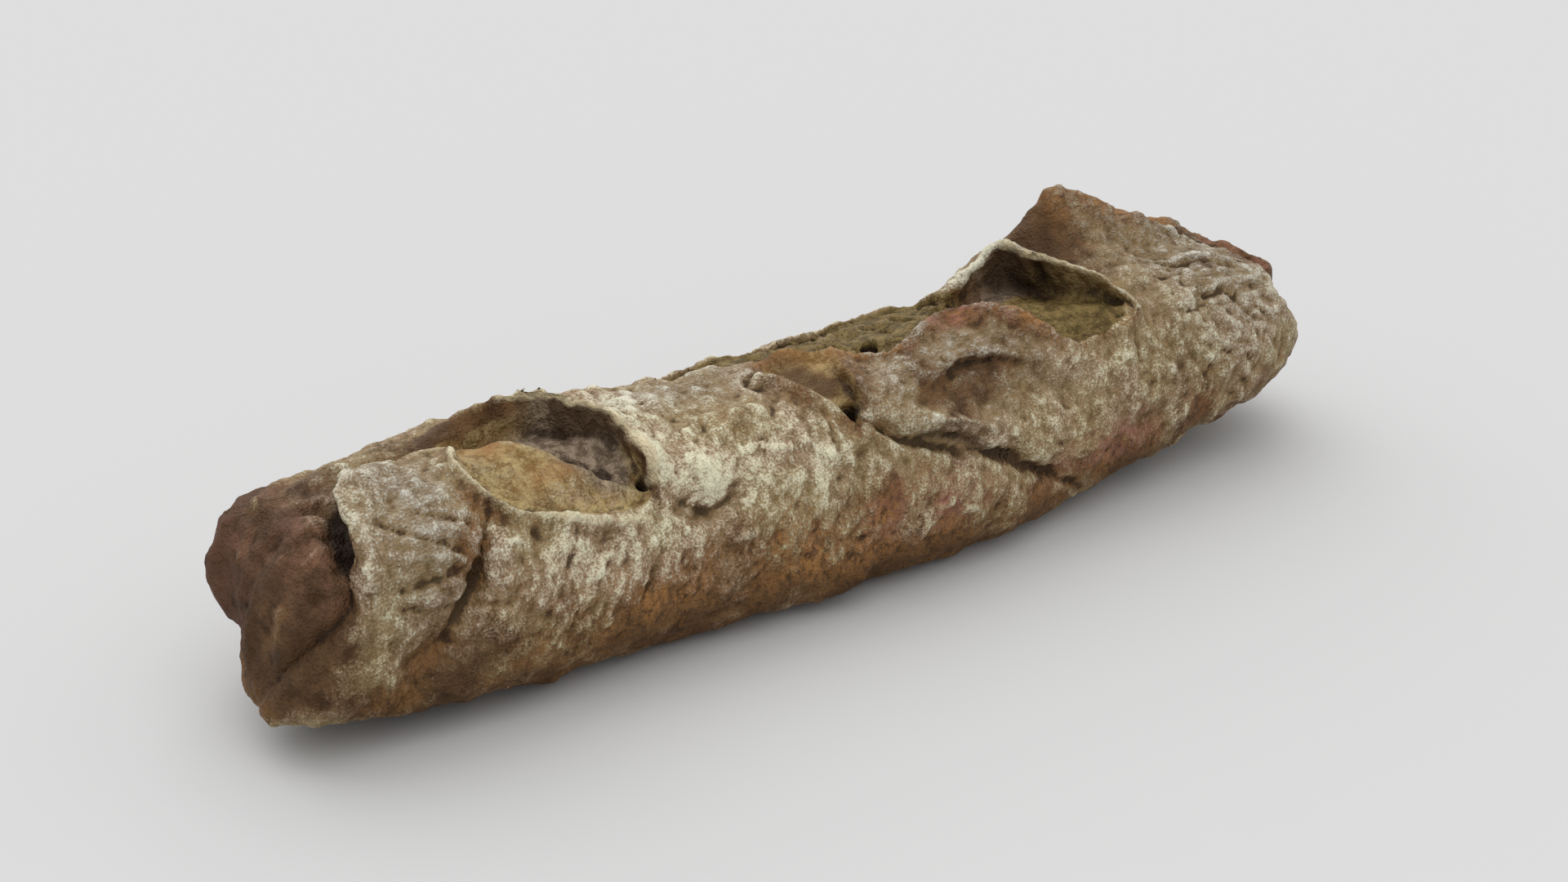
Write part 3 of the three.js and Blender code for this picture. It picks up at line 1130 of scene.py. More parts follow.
@dataclass(frozen=True)
class Blisters:
    """Low round swellings scattered over the crust."""

    count: int = 130
    small: float = 3.0
    large: float = 7.5
    height: float = 0.17
    spread: float = 1.2
    seed: int = 7

    def press(self, sculpt: Sculpt) -> None:
        """Raise the swellings.

        Args:
            sculpt: The crust.
        """
        chance = np.random.default_rng(self.seed)
        x = chance.uniform(sculpt.bar.folded_end, sculpt.bar.eared_end, self.count)
        centres = sculpt.bar.at(x, chance.uniform(-180, 180, self.count))
        for centre, radius in zip(centres, chance.uniform(self.small, self.large, self.count)):
            away = sculpt.away(centre)
            chosen = np.flatnonzero(away < radius * self.spread)
            shape = smoothstep(self.spread - away[chosen] / radius)
            sculpt.raise_(chosen, self.height * radius * shape)


@dataclass(frozen=True)
class Wrinkles:
    """An oval of the crust with wrinkles that run one way.

    The angle is in degrees from the loaf's length, towards its back. Width, length
    and height are those of one wrinkle. The wrinkles wander by the bend, and are
    partly sharp folds and partly round waves.
    """

    x: float
    turn: float
    long: float
    round: float
    angle: float
    width: float
    length: float
    height: float
    seed: int
    sharp: float = 0.6
    fold: float = 2.2
    finer: float = 0.5
    bend: float = 3.0
    bend_grain: float = 22.0
    bend_seed: int = 50

    def relief(self, x: np.ndarray, around: np.ndarray, per_degree: float) -> np.ndarray:
        """Work out how high the wrinkles stand.

        Args:
            x: How far along the bar each place is.
            around: How far round it each place is, in millimetres.
            per_degree: Millimetres round the crust for one degree of turn.

        Returns:
            The height at each place.
        """
        off = np.hypot((x - self.x) / self.long, (around - self.turn * per_degree) / self.round)
        a = math.radians(self.angle)
        along = x * math.cos(a) + around * math.sin(a)
        across = around * math.cos(a) - x * math.sin(a)
        flat = np.stack([along, across, np.zeros(len(x))], -1)
        wander = noise(flat, (self.bend_grain, self.bend_grain, 1), self.seed + self.bend_seed)
        flat[:, 1] += self.bend * wander
        wave = noise(flat, (self.length, self.width, 1), self.seed)
        wave += self.finer * noise(flat, (self.length / 2, self.width / 2, 1), self.seed + 1)
        mixed = self.sharp * (1 - self.fold * np.abs(wave)) + (1 - self.sharp) * wave
        return self.height * mixed * bell(off, 1.0)


# Each row: x and turn, how long the oval is and how far round it goes, the angle of
# the wrinkles, and the width, length and height of one.
WRINKLES = tuple(
    Wrinkles(*row, seed=101 + 10 * number)
    for number, row in enumerate(
        (
            (-132, -22, 16, 22, -20, 4.6, 11, 0.6),
            (-132, -66, 14, 16, -35, 4.0, 11, 0.5),
            (-150, -60, 12, 30, 70, 3.2, 12, 0.45),
            (-100, -76, 26, 16, 68, 3.0, 10, 0.7),
            (-62, -20, 14, 26, 78, 3.0, 10, 0.35),
            (-30, -50, 26, 14, 60, 3.0, 8, 0.5),
            (-20, -92, 60, 14, 50, 2.6, 9, 0.35),
            (30, -42, 26, 18, 20, 3.0, 8, 0.35),
            (60, -92, 50, 16, -30, 2.8, 9, 0.4),
            (124, -30, 24, 22, -8, 4.6, 13, 0.75),
            (100, 0, 14, 22, 62, 4.2, 11, 0.6),
            (140, 6, 20, 14, -20, 4.4, 11, 0.7),
            (125, -76, 34, 18, -60, 3.2, 10, 0.7),
            (-60, 70, 90, 40, 74, 3.4, 11, 0.5),
            (80, 80, 80, 40, 40, 3.4, 11, 0.5),
        )
    )
)


@dataclass(frozen=True)
class Puckers:
    """Round winding folds that cover the folded end, up to where they start."""

    start: float = -142.0
    ease: float = 10.0
    height: float = 0.6
    fold: float = 2.4
    grain: tuple[float, float, float] = (11.0, 6.0, 13.0)
    finer: tuple[float, float, float] = (5.0, 3.0, 5.0)
    finer_share: float = 0.3
    seed: int = 41

    def relief(self, points: np.ndarray) -> np.ndarray:
        """Work out how high the folds stand.

        Args:
            points: The loaf's points.

        Returns:
            One height for each point.
        """
        wave = noise(points, self.grain, self.seed)
        wave += self.finer_share * noise(points, self.finer, self.seed + 2)
        near_end = smoothstep((self.start - points[:, 0]) / self.ease)
        return self.height * (1 - self.fold * np.abs(wave)) * near_end


@dataclass(frozen=True)
class Clumps:
    """Clumps of flour where there is flour already: how high and how white they are."""

    waves: Waves = Waves(1.0, 4.0, 45, 2)
    start: float = 0.45
    ease: float = 0.5
    least: float = 0.4
    white: float = 0.4
    height: float = 0.6

    def at(self, points: np.ndarray, flour: np.ndarray) -> np.ndarray:
        """Work out how much of a clump is at each point.

        Args:
            points: The loaf's points.
            flour: How much flour is on each.

        Returns:
            A share for each point.
        """
        clump = smoothstep((self.waves.at(points) - self.start) / self.ease)
        return clump * np.clip(self.least + flour, 0, 1)


@dataclass(frozen=True)
class Pores:
    """Rounded cells with thin walls in the open crumb, one in each cube of a grid.

    The jitter is how far each strays from its cube's middle, as a share of the gap.
    The depths are a middle share, give or take the spread, raised to the power.
    """

    gap: float = 6.6
    depth: float = 4.0
    wall: float = 3.2
    least_crumb: float = 0.3
    jitter: float = 0.5
    middle: float = 0.55
    spread: float = 0.45
    power: float = 1.6
    # How strong the painted shade in the deepest pores is.
    dark: float = 0.9
    seed: int = 5

    def at(self, points: np.ndarray, crumb: np.ndarray) -> tuple[np.ndarray, np.ndarray]:
        """Open the crumb.

        Args:
            points: The mesh's points.
            crumb: How much each is crumb.

        Returns:
            How deep each point sinks, and how much painted shade lies on it.
        """
        depth, pore_shade = np.zeros(len(points)), np.zeros(len(points))
        places = np.flatnonzero(crumb > self.least_crumb)
        cells = np.unique(np.floor(points[places] / self.gap), axis=0)
        stray = np.stack([lattice(cells, self.seed + axis) for axis in range(3)], -1)
        tree = plant((cells + 0.5 + self.jitter * stray) * self.gap)
        deepest = (self.middle + self.spread * lattice(cells, self.seed + 3)) ** self.power
        for place in places.tolist():
            near, far = tree.find_n(points[place].tolist(), 2)
            opened = min((far[2] - near[2]) / self.wall, 1.0)
            opened = opened * opened * (3 - 2 * opened) * crumb[place]
            depth[place] = self.depth * deepest[near[1]] * opened
            pore_shade[place] = self.dark * opened * deepest[near[1]] ** 2
        return depth, pore_shade


# ---------------------------------------------------------------- the loaf


@dataclass
class Loaf:
    """The whole baguette: one closed mesh of crust, and its finish.

    The sphere has so many segments and rings, each halved so many times, and the
    voxel is the size of the rebuilt mesh's faces. Skin and crumb are smoother than
    crust, and the floor is where the underside's relief fades out.
    """

    bar: Bar
    rings: int = 160
    segments: int = 104
    halvings: int = 2
    voxel: float = 1.06
    rim: float = 1.25
    floor: float = 4.0
    most_paint: float = 1.5
    paint_rounds: int = 2
    least_patchy: float = 0.35
    skin_smooth: float = 0.6
    swell: Waves = Waves(1.0, 22.0, 11)
    patchy: Waves = Waves(0.9, 11.0, 61, 4)
    drifts: Waves = Waves(0.22, 14.0, 71, 4)
    ragged: Waves = Waves(0.35, 5.0, 81)
    coarse: Waves = Waves(0.85, 9.0, 31)
    fine: Waves = Waves(0.45, 3.4, 35, 2)
    clumps: Clumps = Clumps()
    puckers: Puckers = Puckers()
    pores: Pores = Pores()
    # What stands proud is kept too: its name, how widely it is measured, its full height.
    proud: tuple[tuple[str, int, float], ...] = (("fine", 4, 0.5), ("broad", 40, 2.0))
    most_proud: float = 0.85
    name: str = "loaf_crust"

    def build(self) -> bpy.types.Object:
        """Sculpt the loaf.

        Returns:
            The finished object, at the origin, with its place in its mesh.
        """
        bpy.ops.object.select_all(action="DESELECT")
        bpy.ops.mesh.primitive_uv_sphere_add(segments=self.segments, ring_count=self.rings, radius=1)
        loaf = bpy.context.object
        loaf.name = self.name
        finer = loaf.modifiers.new("finer", "SUBSURF")
        finer.subdivision_type = "SIMPLE"
        finer.levels = finer.render_levels = self.halvings
        bpy.ops.object.modifier_apply(modifier=finer.name)
        sculpt = self.draw_out(loaf)
        for feature in (Blisters(), *FEATURES):
            feature.press(sculpt)
        self.undulate(sculpt)
        shaped = sculpt.points + sculpt.move
        shaped[:, 2] = np.maximum(shaped[:, 2], 0)
        write_points(loaf, shaped)
        log.info("sculpted %d points", len(shaped))
        self.remesh(loaf)
        points = read_points(loaf)
        source = nearest(shaped, points)
        layers = {layer: values[source] for layer, values in sculpt.layers.items()}
        self.whiten(points, layers, shaped, sculpt.rims)
        self.texture(loaf, layers, sculpt.x[source], sculpt.around[source])
        log.info("finished %s with %d faces", loaf.name, len(loaf.data.polygons))
        return loaf

    def draw_out(self, loaf: bpy.types.Object) -> Sculpt:
        """Draw the sphere out into the plain bar, keeping each point's place on it.

        Args:
            loaf: The sphere.

        Returns:
            The crust, ready to be sculpted.
        """
        ball = unit(read_points(loaf))
        polar = np.arccos(np.clip(ball[:, 2], -1, 1)) / math.pi
        x, share = self.bar.meridian(1 - polar)
        return Sculpt.of(self.bar, x, np.arctan2(ball[:, 1], ball[:, 0]), share)

    def undulate(self, sculpt: Sculpt) -> None:
        """Make the dough's surface uneven in a broad way, and its finish patchy.

        Args:
            sculpt: The crust.
        """
        sculpt.raise_(np.arange(len(sculpt.points)), self.swell.at(sculpt.points))
        patchy = np.maximum(1 + self.patchy.at(sculpt.points), self.least_patchy)
        for layer in (Layer.FLOUR, Layer.BAKE, Layer.RED, Layer.DARK):
            sculpt.layers[layer] *= patchy
        sculpt.layers[Layer.FLOUR] += self.drifts.at(sculpt.points)
        ragged = 1 + self.ragged.at(sculpt.points)
        for layer in (Layer.SKIN, Layer.CRUMB):
            sculpt.layers[layer] *= ragged

    def remesh(self, loaf: bpy.types.Object) -> None:
        """Rebuild the mesh with even faces, so that lips and hollows are as fine as the rest.

        Args:
            loaf: The sculpted loaf.
        """
        loaf.data.remesh_voxel_size = self.voxel * MM
        loaf.data.use_remesh_fix_poles = False
        bpy.context.view_layer.objects.active = loaf
        bpy.ops.object.voxel_remesh()

    def whiten(
        self,
        points: np.ndarray,
        layers: dict[Layer, np.ndarray],
        shaped: np.ndarray,
        rims: list[tuple[np.ndarray, np.ndarray]],
    ) -> None:
        """Lay a pale roll along the lips' rims.

        Args:
            points: The remeshed loaf's points.
            layers: The layers of the finish, at those points.
            shaped: The sculpted points, before the mesh was rebuilt.
            rims: The numbers of the sculpted points on each rim, and how pale they are.
        """
        rim = shaped[np.concatenate([numbers for numbers, _ in rims])]
        pale = np.concatenate([amounts for _, amounts in rims])
        source = nearest(rim, points)
        away = np.linalg.norm(points - rim[source], axis=1)
        layers[Layer.EDGE] += pale[source] * bell(away, self.rim)

    def texture(
        self,
        loaf: bpy.types.Object,
        layers: dict[Layer, np.ndarray],
        x: np.ndarray,
        around: np.ndarray,
    ) -> None:
        """Add pores, wrinkles and grain, and store the layers of the finish.

        Args:
            loaf: The remeshed loaf.
            layers: The layers of the finish, at its points.
            x: How far along the bar each point was.
            around: How far round it each point was, in millimetres.
        """
        points, edges = read_points(loaf), read_edges(loaf)
        most = self.most_paint
        for layer, values in layers.items():
            layers[layer] = even_out(np.clip(values, -most, most), edges, self.paint_rounds)
        crumb, skin = np.clip(layers[Layer.CRUMB], 0, 1), np.clip(layers[Layer.SKIN], 0, 1)
        clumps = self.clumps.at(points, layers[Layer.FLOUR])
        layers[Layer.FLOUR] += self.clumps.white * clumps
        depth, pore_shade = self.pores.at(points, crumb * (1 - skin))
        # The pores' mouths get painted shade.
        layers[Layer.HOLLOW] += pore_shade
        plain = self.coarse.at(points) + self.fine.at(points) + self.clumps.height * clumps * (1 - skin)
        wrinkled = sum(zone.relief(x, around, self.bar.per_degree) for zone in WRINKLES)
        wrinkled += self.puckers.relief(points)
        relief = (plain + wrinkled * (1 - crumb)) * (1 - self.skin_smooth * skin)
        relief = relief * smoothstep(points[:, 2] / self.floor) - depth
        points = points + read_normals(loaf) * relief[:, None]
        points[:, 2] = np.maximum(points[:, 2], 0)
        write_points(loaf, points)
        for layer, values in layers.items():
            store(loaf, layer.value, values)
        normals = read_normals(loaf)
        for name, rounds, full in self.proud:
            smooth = np.stack([even_out(points[:, axis], edges, rounds) for axis in range(3)], -1)
            height = ((points - smooth) * normals).sum(1)
            store(loaf, name, np.clip(0.5 + height / full / 2, 0, self.most_proud))
        loaf.data.shade_smooth()


def plant(points: np.ndarray) -> KDTree:
    """Put points in a tree that finds the nearest ones fast.

    Args:
        points: The points.

    Returns:
        The tree, with each point under its own number.
    """
    tree = KDTree(len(points))
    for number, place in enumerate(points.tolist()):
        tree.insert(place, number)
    tree.balance()
    return tree


def nearest(old: np.ndarray, new: np.ndarray) -> np.ndarray:
    """Find the old point nearest to each new point.

    Args:
        old: The points to choose from.
        new: The points to match.

    Returns:
        One number for each new point.
    """
    tree = plant(old)
    return np.array([tree.find(place)[1] for place in new.tolist()])


def read_points(piece: bpy.types.Object) -> np.ndarray:
    """Read the mesh's points, in millimetres.

    Args:
        piece: The object.

    Returns:
        A row of x, y and z for each point.
    """
    flat = np.empty(len(piece.data.vertices) * 3, np.float32)
    piece.data.vertices.foreach_get("co", flat)
    return flat.reshape(-1, 3).astype(float) / MM


def write_points(piece: bpy.types.Object, points: np.ndarray) -> None:
    """Put the mesh's points at these places, in millimetres.

    Args:
        piece: The object.
        points: A row of x, y and z for each point.
    """
    piece.data.vertices.foreach_set("co", (points * MM).astype(np.float32).ravel())
    piece.data.update()


def read_normals(piece: bpy.types.Object) -> np.ndarray:
    """Read which way each point of the mesh faces.

    Args:
        piece: The object.

    Returns:
        A direction for each point.
    """
    flat = np.empty(len(piece.data.vertices) * 3, np.float32)
    piece.data.vertex_normals.foreach_get("vector", flat)
    return flat.reshape(-1, 3).astype(float)


def read_edges(piece: bpy.types.Object) -> np.ndarray:
    """Read which two points each edge joins.

    Args:
        piece: The object.

    Returns:
        A row of two numbers for each edge.
    """
    flat = np.empty(len(piece.data.edges) * 2, np.int32)
    piece.data.edges.foreach_get("vertices", flat)
    return flat.reshape(-1, 2)


def even_out(values: np.ndarray, edges: np.ndarray, rounds: int) -> np.ndarray:
    """Average each point's value with those of the points round it.

    Args:
        values: One number for each point.
        edges: The two points of each edge.
        rounds: How many times to do it.

    Returns:
        The smoothed numbers.
    """
    both = np.concatenate([edges, edges[:, ::-1]])
    count = np.bincount(both[:, 0], minlength=len(values))
    for _ in range(rounds):
        total = np.bincount(both[:, 0], values[both[:, 1]], minlength=len(values))
        values = (values + total / np.maximum(count, 1)) / 2
    return values


def store(piece: bpy.types.Object, name: str, values: np.ndarray) -> None:
    """Keep one number for each point on the mesh.

    Args:
        piece: The object.
        name: What the numbers are called.
        values: The numbers.
    """
    attribute = piece.data.attributes.new(name, "FLOAT", "POINT")
    attribute.data.foreach_set("value", values.astype(np.float32))


# ---------------------------------------------------------------- the finish


Colour = tuple[float, float, float]


@dataclass(frozen=True)
class Band:
    """Where a value starts to count, where it counts in full, and how much that is."""

    low: float
    high: float
    top: float = 1.0


@dataclass(frozen=True)
class Texture:
    """Random waves in a material.

    The grain is a wave's size in millimetres. Detail is how many finer waves are
    laid over it, rough is how strong those are, and stretch is how much longer all
    of them are along each axis.
    """

    grain: float
    detail: float = 3
    rough: float = 0.6
    stretch: tuple[float, float, float] = (1, 1, 1)


class Graph:
    """A material's nodes, added one after another."""

    def __init__(self, name: str) -> None:
        """Start a material with one plain shader.

        Args:
            name: The material's name.
        """
        self.material = bpy.data.materials.new(name)
        self.material.use_nodes = True
        self.tree = self.material.node_tree
        self.shader = self.tree.nodes["Principled BSDF"]
        self.place = self.add("ShaderNodeTexCoord").outputs["Object"]

    def add(self, kind: str, **settings: object) -> bpy.types.Node:
        """Add a node with these settings.

        Args:
            kind: The node's kind.
            settings: What to set on it.

        Returns:
            The node.
        """
        node = self.tree.nodes.new(kind)
        for name, value in settings.items():
            setattr(node, name, value)
        return node

    def feed(self, socket: bpy.types.NodeSocket, value: object) -> None:
        """Link a socket to another node's, or set its number or colour.

        Args:
            socket: The socket to feed.
            value: Another node's socket, a number or a colour.
        """
        if isinstance(value, bpy.types.NodeSocket):
            self.tree.links.new(value, socket)
        elif isinstance(value, tuple) and socket.type == "RGBA":
            socket.default_value = (*value, 1)
        else:
            socket.default_value = value

    def layer(self, name: str) -> bpy.types.NodeSocket:
        """Read a number stored on the mesh."""
        return self.add("ShaderNodeAttribute", attribute_name=name).outputs["Fac"]

    def noise(self, texture: Texture) -> bpy.types.NodeSocket:
        """Add random waves about 0.5.

        Args:
            texture: The waves' sizes.

        Returns:
            Their height.
        """
        mapping = self.add("ShaderNodeMapping")
        self.feed(mapping.inputs["Vector"], self.place)
        mapping.inputs["Scale"].default_value = tuple(1 / share for share in texture.stretch)
        node = self.add("ShaderNodeTexNoise")
        self.feed(node.inputs["Vector"], mapping.outputs["Vector"])
        node.inputs["Scale"].default_value = 1 / (texture.grain * MM)
        node.inputs["Detail"].default_value = texture.detail
        node.inputs["Roughness"].default_value = texture.rough
        return node.outputs["Fac"]

    def math(self, operation: str, *values: object, clamp: bool = False) -> bpy.types.NodeSocket:
        """Work out one number from others.

        Args:
            operation: The kind of sum.
            values: The numbers or sockets that go in.
            clamp: Whether to keep the result from 0 to 1.

        Returns:
            The result.
        """
        node = self.add("ShaderNodeMath", operation=operation, use_clamp=clamp)
        for socket, value in zip(node.inputs, values):
            self.feed(socket, value)
        return node.outputs[0]

    def total(self, *terms: tuple[bpy.types.NodeSocket, float]) -> bpy.types.NodeSocket:
        """Add up numbers, each times its own share.

        Args:
            terms: Each number and its share.

        Returns:
            The sum.
        """
        parts = [self.math("MULTIPLY", value, share) for value, share in terms]
        result = parts[0]
        for part in parts[1:]:
            result = self.math("ADD", result, part)
        return result

    def ease(self, value: bpy.types.NodeSocket, band: Band) -> bpy.types.NodeSocket:
        """Ease from 0 where the band starts to its top where it ends.

        Args:
            value: The number to look at.
            band: Where it counts.

        Returns:
            A number from 0 to the band's top.
        """
        node = self.add("ShaderNodeMapRange", interpolation_type="SMOOTHSTEP")
        self.feed(node.inputs["Value"], value)
        node.inputs["From Min"].default_value = band.low
        node.inputs["From Max"].default_value = band.high
        node.inputs["To Max"].default_value = band.top
        return node.outputs["Result"]

    def blend(self, share: object, first: object, second: object) -> bpy.types.NodeSocket:
        """Blend from one number to another.

        Args:
            share: How far to go, from 0 to 1.
            first: The number at 0.
            second: The number at 1.

        Returns:
            The blend.
        """
        node = self.add("ShaderNodeMix", data_type="FLOAT")
        for number, value in ((0, share), (2, first), (3, second)):
            self.feed(node.inputs[number], value)
        return node.outputs[0]

    def mix(self, share: object, first: object, second: object) -> bpy.types.NodeSocket:
        """Blend from one colour to another.

        Args:
            share: How far to go, from 0 to 1.
            first: The colour at 0.
            second: The colour at 1.

        Returns:
            The blend.
        """
        node = self.add("ShaderNodeMix", data_type="RGBA")
        for number, value in ((0, share), (6, first), (7, second)):
            self.feed(node.inputs[number], value)
        return node.outputs[2]


@dataclass
class Patterns:
    """The patterns that the crust's colour and its bump are both made from."""

    along: bpy.types.NodeSocket
    tint: bpy.types.NodeSocket
    blotch: bpy.types.NodeSocket
    streak: bpy.types.NodeSocket
    grain: bpy.types.NodeSocket
    grains: bpy.types.NodeSocket
    furrow: bpy.types.NodeSocket
    crease: bpy.types.NodeSocket


@dataclass(frozen=True)
class CrustFinish:
    """Baked crust: brown under flour, with skin, crumb and reddish edges."""

    deep: Colour = (0.055, 0.028, 0.012)
    brown: Colour = (0.150, 0.082, 0.036)
    olive: Colour = (0.145, 0.094, 0.040)
    tan: Colour = (0.255, 0.172, 0.080)
    orange: Colour = (0.285, 0.138, 0.046)
    red: Colour = (0.290, 0.128, 0.094)
    skin_dark: Colour = (0.170, 0.100, 0.030)
    skin_light: Colour = (0.400, 0.300, 0.135)
    crumb_dark: Colour = (0.078, 0.052, 0.016)
    crumb_light: Colour = (0.205, 0.143, 0.052)
    # The near-black of the painted shade in hollows and crannies.
    painted_shade_colour: Colour = (0.026, 0.015, 0.009)
    cream_dull: Colour = (0.330, 0.255, 0.140)
    cream_white: Colour = (0.720, 0.690, 0.500)
    grey_dull: Colour = (0.270, 0.228, 0.172)
    grey_white: Colour = (0.620, 0.600, 0.520)
    edge: Colour = (0.580, 0.490, 0.310)
    blush_dull: Colour = (0.340, 0.232, 0.155)
    membrane_dark: Colour = (0.115, 0.080, 0.054)
    membrane_light: Colour = (0.290, 0.222, 0.155)

    # The patterns. Streaks and furrows run round the loaf, or along it where it says so.
    broad: Texture = Texture(16)
    tint: Texture = Texture(24, 2, 0.5)
    blotch: Texture = Texture(6, 5, 0.68)
    streak_round: Texture = Texture(1.4, stretch=(1, 1.8, 1.8))
    streak_along: Texture = Texture(1.4, stretch=(2.4, 1, 1))
    furrow_round: Texture = Texture(5.0, stretch=(1, 3.0, 3.0))
    furrow_along: Texture = Texture(5.0, stretch=(3.4, 1, 1))
    crease: Texture = Texture(2.8, stretch=(1, 1.3, 1.3))
    fine: Texture = Texture(0.6, 1)
    skin_mottle: Texture = Texture(4, 4, 0.7)
    inner_mottle: Texture = Texture(3, 4, 0.7)
    furrow_width: Band = Band(0.0, 0.06)
    grain_size: float = 1.0
    grain_edge: Band = Band(0.62, 0.12)

    # How brown and how orange the bare crust is.
    flour_keeps_pale: float = -0.6
    bake_is_orange: float = 0.9
    bake_on_skin: float = 0.6
    broad_brown: Band = Band(0.45, 0.70, 0.5)
    browned: Band = Band(0.1, 0.7)
    pale_blotch: Band = Band(0.34, 0.64)
    brown_blotch: Band = Band(0.32, 0.62)
    orange_tint: Band = Band(0.52, 0.72, 0.35)
    orange_streak: Band = Band(0.32, 0.6)
    red_blotch: Band = Band(0.36, 0.60)
    mottle: Band = Band(0.40, 0.62)
    crumb_mottle: Band = Band(0.36, 0.64)
    inner: Band = Band(0.25, 0.75)
    membrane: Band = Band(0.2, 0.7)

    # What the flour lies on and what it leaves bare, and how its grains thin out.
    cover_layers: tuple[tuple[str, float], ...] = (
        ("flour", 0.40),
        ("fine", 0.85),
        ("broad", 0.6),
        ("bake", -0.22),
        ("skin", -0.18),
        ("crumb", -0.75),
        ("red", -0.10),
        ("dark", -0.45),
        ("membrane", -0.3),
    )
    cover_less: float = 0.12
    cover_furrow: float = 0.10
    cover_crease: float = 0.10
    dust_streak: float = 0.5
    dust_fine: float = 1.1
    dust_blotch: float = 0.8
    dust_grains: float = 0.15
    dull_tint: Band = Band(0.42, 0.58)
    white_dust: Band = Band(1.98, 2.80)
    dusted: Band = Band(1.58, 2.40, 0.92)

    # What is laid over the flour: darker crust, painted shade and pale rims.
    darkened: Band = Band(0.1, 1.3, 0.80)
    furrow_shade: Band = Band(0.5, 0.0, 0.3)
    furrow_blotch: Band = Band(0.45, 0.6)
    hollow: Band = Band(0.2, 1.0)
    rim_blotch: float = 0.6
    rim: Band = Band(0.45, 1.0, 0.9)
    cranny_shade: Band = Band(0.42, 0.12, 0.75)

    # The sheen, and how strongly each pattern shows in the bump.
    roughness: float = 0.6
    shine: float = 0.12
    bump_streak: float = 0.40
    bump_fine: float = 0.30
    bump_furrow: float = 0.14
    bump_crease: float = 0.05
    bump_grains: float = 0.22
    bump_blotch: float = 0.8
    bump_height: float = 1.1

    def material(self) -> bpy.types.Material:
        """Build the crust's material.

        Returns:
            The material.
        """
        g = Graph("crust")
        seen = self.patterns(g)
        colour = self.flour(g, seen, self.crust(g, seen))
        g.feed(g.shader.inputs["Base Color"], self.marks(g, seen, colour))
        g.shader.inputs["Roughness"].default_value = self.roughness
        g.shader.inputs["Specular IOR Level"].default_value = self.shine
        height = g.total(
            (seen.streak, self.bump_streak),
            (seen.grain, self.bump_fine),
            (seen.furrow, self.bump_furrow),
            (seen.crease, self.bump_crease),
            (seen.grains, self.bump_grains),
            (seen.blotch, self.bump_blotch),
        )
        bump = g.add("ShaderNodeBump")
        g.feed(bump.inputs["Height"], height)
        bump.inputs["Strength"].default_value = 1.0
        bump.inputs["Distance"].default_value = self.bump_height * MM
        g.feed(g.shader.inputs["Normal"], bump.outputs["Normal"])
        return g.material

    def patterns(self, g: Graph) -> Patterns:
        """Make the patterns.

        Args:
            g: The material's nodes.

        Returns:
            The patterns.
        """
        along = g.layer("along")
        streak = g.blend(along, g.noise(self.streak_round), g.noise(self.streak_along))
        furrow = g.blend(along, self.furrows(g, self.furrow_round), self.furrows(g, self.furrow_along))
        return Patterns(
            along=along,
            tint=g.noise(self.tint),
            blotch=g.noise(self.blotch),
            streak=streak,
            grain=g.noise(self.fine),
            grains=self.grains(g),
            furrow=furrow,
            crease=self.furrows(g, self.crease),
        )

    def grains(self, g: Graph) -> bpy.types.NodeSocket:
        """Add rounded grains: 1 in the middle of a grain, and 0 between them.

        Args:
            g: The material's nodes.

        Returns:
            The grains' height.
        """
        node = g.add("ShaderNodeTexVoronoi", feature="F1")
        g.feed(node.inputs["Vector"], g.place)
        node.inputs["Scale"].default_value = 1 / (self.grain_size * MM)
        return g.ease(node.outputs["Distance"], self.grain_edge)

    def furrows(self, g: Graph, texture: Texture) -> bpy.types.NodeSocket:
        """Thin winding furrows: 0 along a furrow, and 1 between them."""
        off = g.math("ABSOLUTE", g.math("SUBTRACT", g.noise(texture), 0.5))
        return g.ease(off, self.furrow_width)

    def crust(self, g: Graph, seen: Patterns) -> bpy.types.NodeSocket:
        """Colour the bare crust, its tight skin, its membranes and its crumb.

        Args:
            g: The material's nodes.
            seen: The patterns.

        Returns:
            The colour.
        """
        baked, dark, flour = g.layer("bake"), g.layer("dark"), g.layer("flour")
        broad = g.ease(g.noise(self.broad), self.broad_brown)
        browned = g.total((baked, 1), (dark, 1), (flour, self.flour_keeps_pale), (broad, 1))
        pale = g.mix(g.ease(seen.blotch, self.pale_blotch), self.olive, self.tan)
        base = g.mix(g.ease(seen.blotch, self.brown_blotch), self.deep, self.brown)
        base = g.mix(g.ease(browned, self.browned), pale, base)
        bake = g.total((baked, self.bake_is_orange), (g.ease(seen.tint, self.orange_tint), 1))
        bake = g.math("MULTIPLY", bake, g.ease(seen.streak, self.orange_streak), clamp=True)
        base = g.mix(bake, base, self.orange)
        red = g.math("MULTIPLY", g.layer("red"), g.ease(seen.blotch, self.red_blotch), clamp=True)
        base = g.mix(red, base, self.red)
        skin = g.mix(g.ease(g.noise(self.skin_mottle), self.mottle), self.skin_dark, self.skin_light)
        skin = g.mix(g.math("MULTIPLY", baked, self.bake_on_skin, clamp=True), skin, self.orange)
        base = g.mix(g.ease(g.layer("skin"), self.inner), base, skin)
        inner = g.noise(self.inner_mottle)
        film = g.mix(g.ease(inner, self.mottle), self.membrane_dark, self.membrane_light)
        base = g.mix(g.ease(g.layer("membrane"), self.membrane), base, film)
        crumb = g.mix(g.ease(inner, self.crumb_mottle), self.crumb_dark, self.crumb_light)
        return g.mix(g.ease(g.layer("crumb"), self.inner), base, crumb)

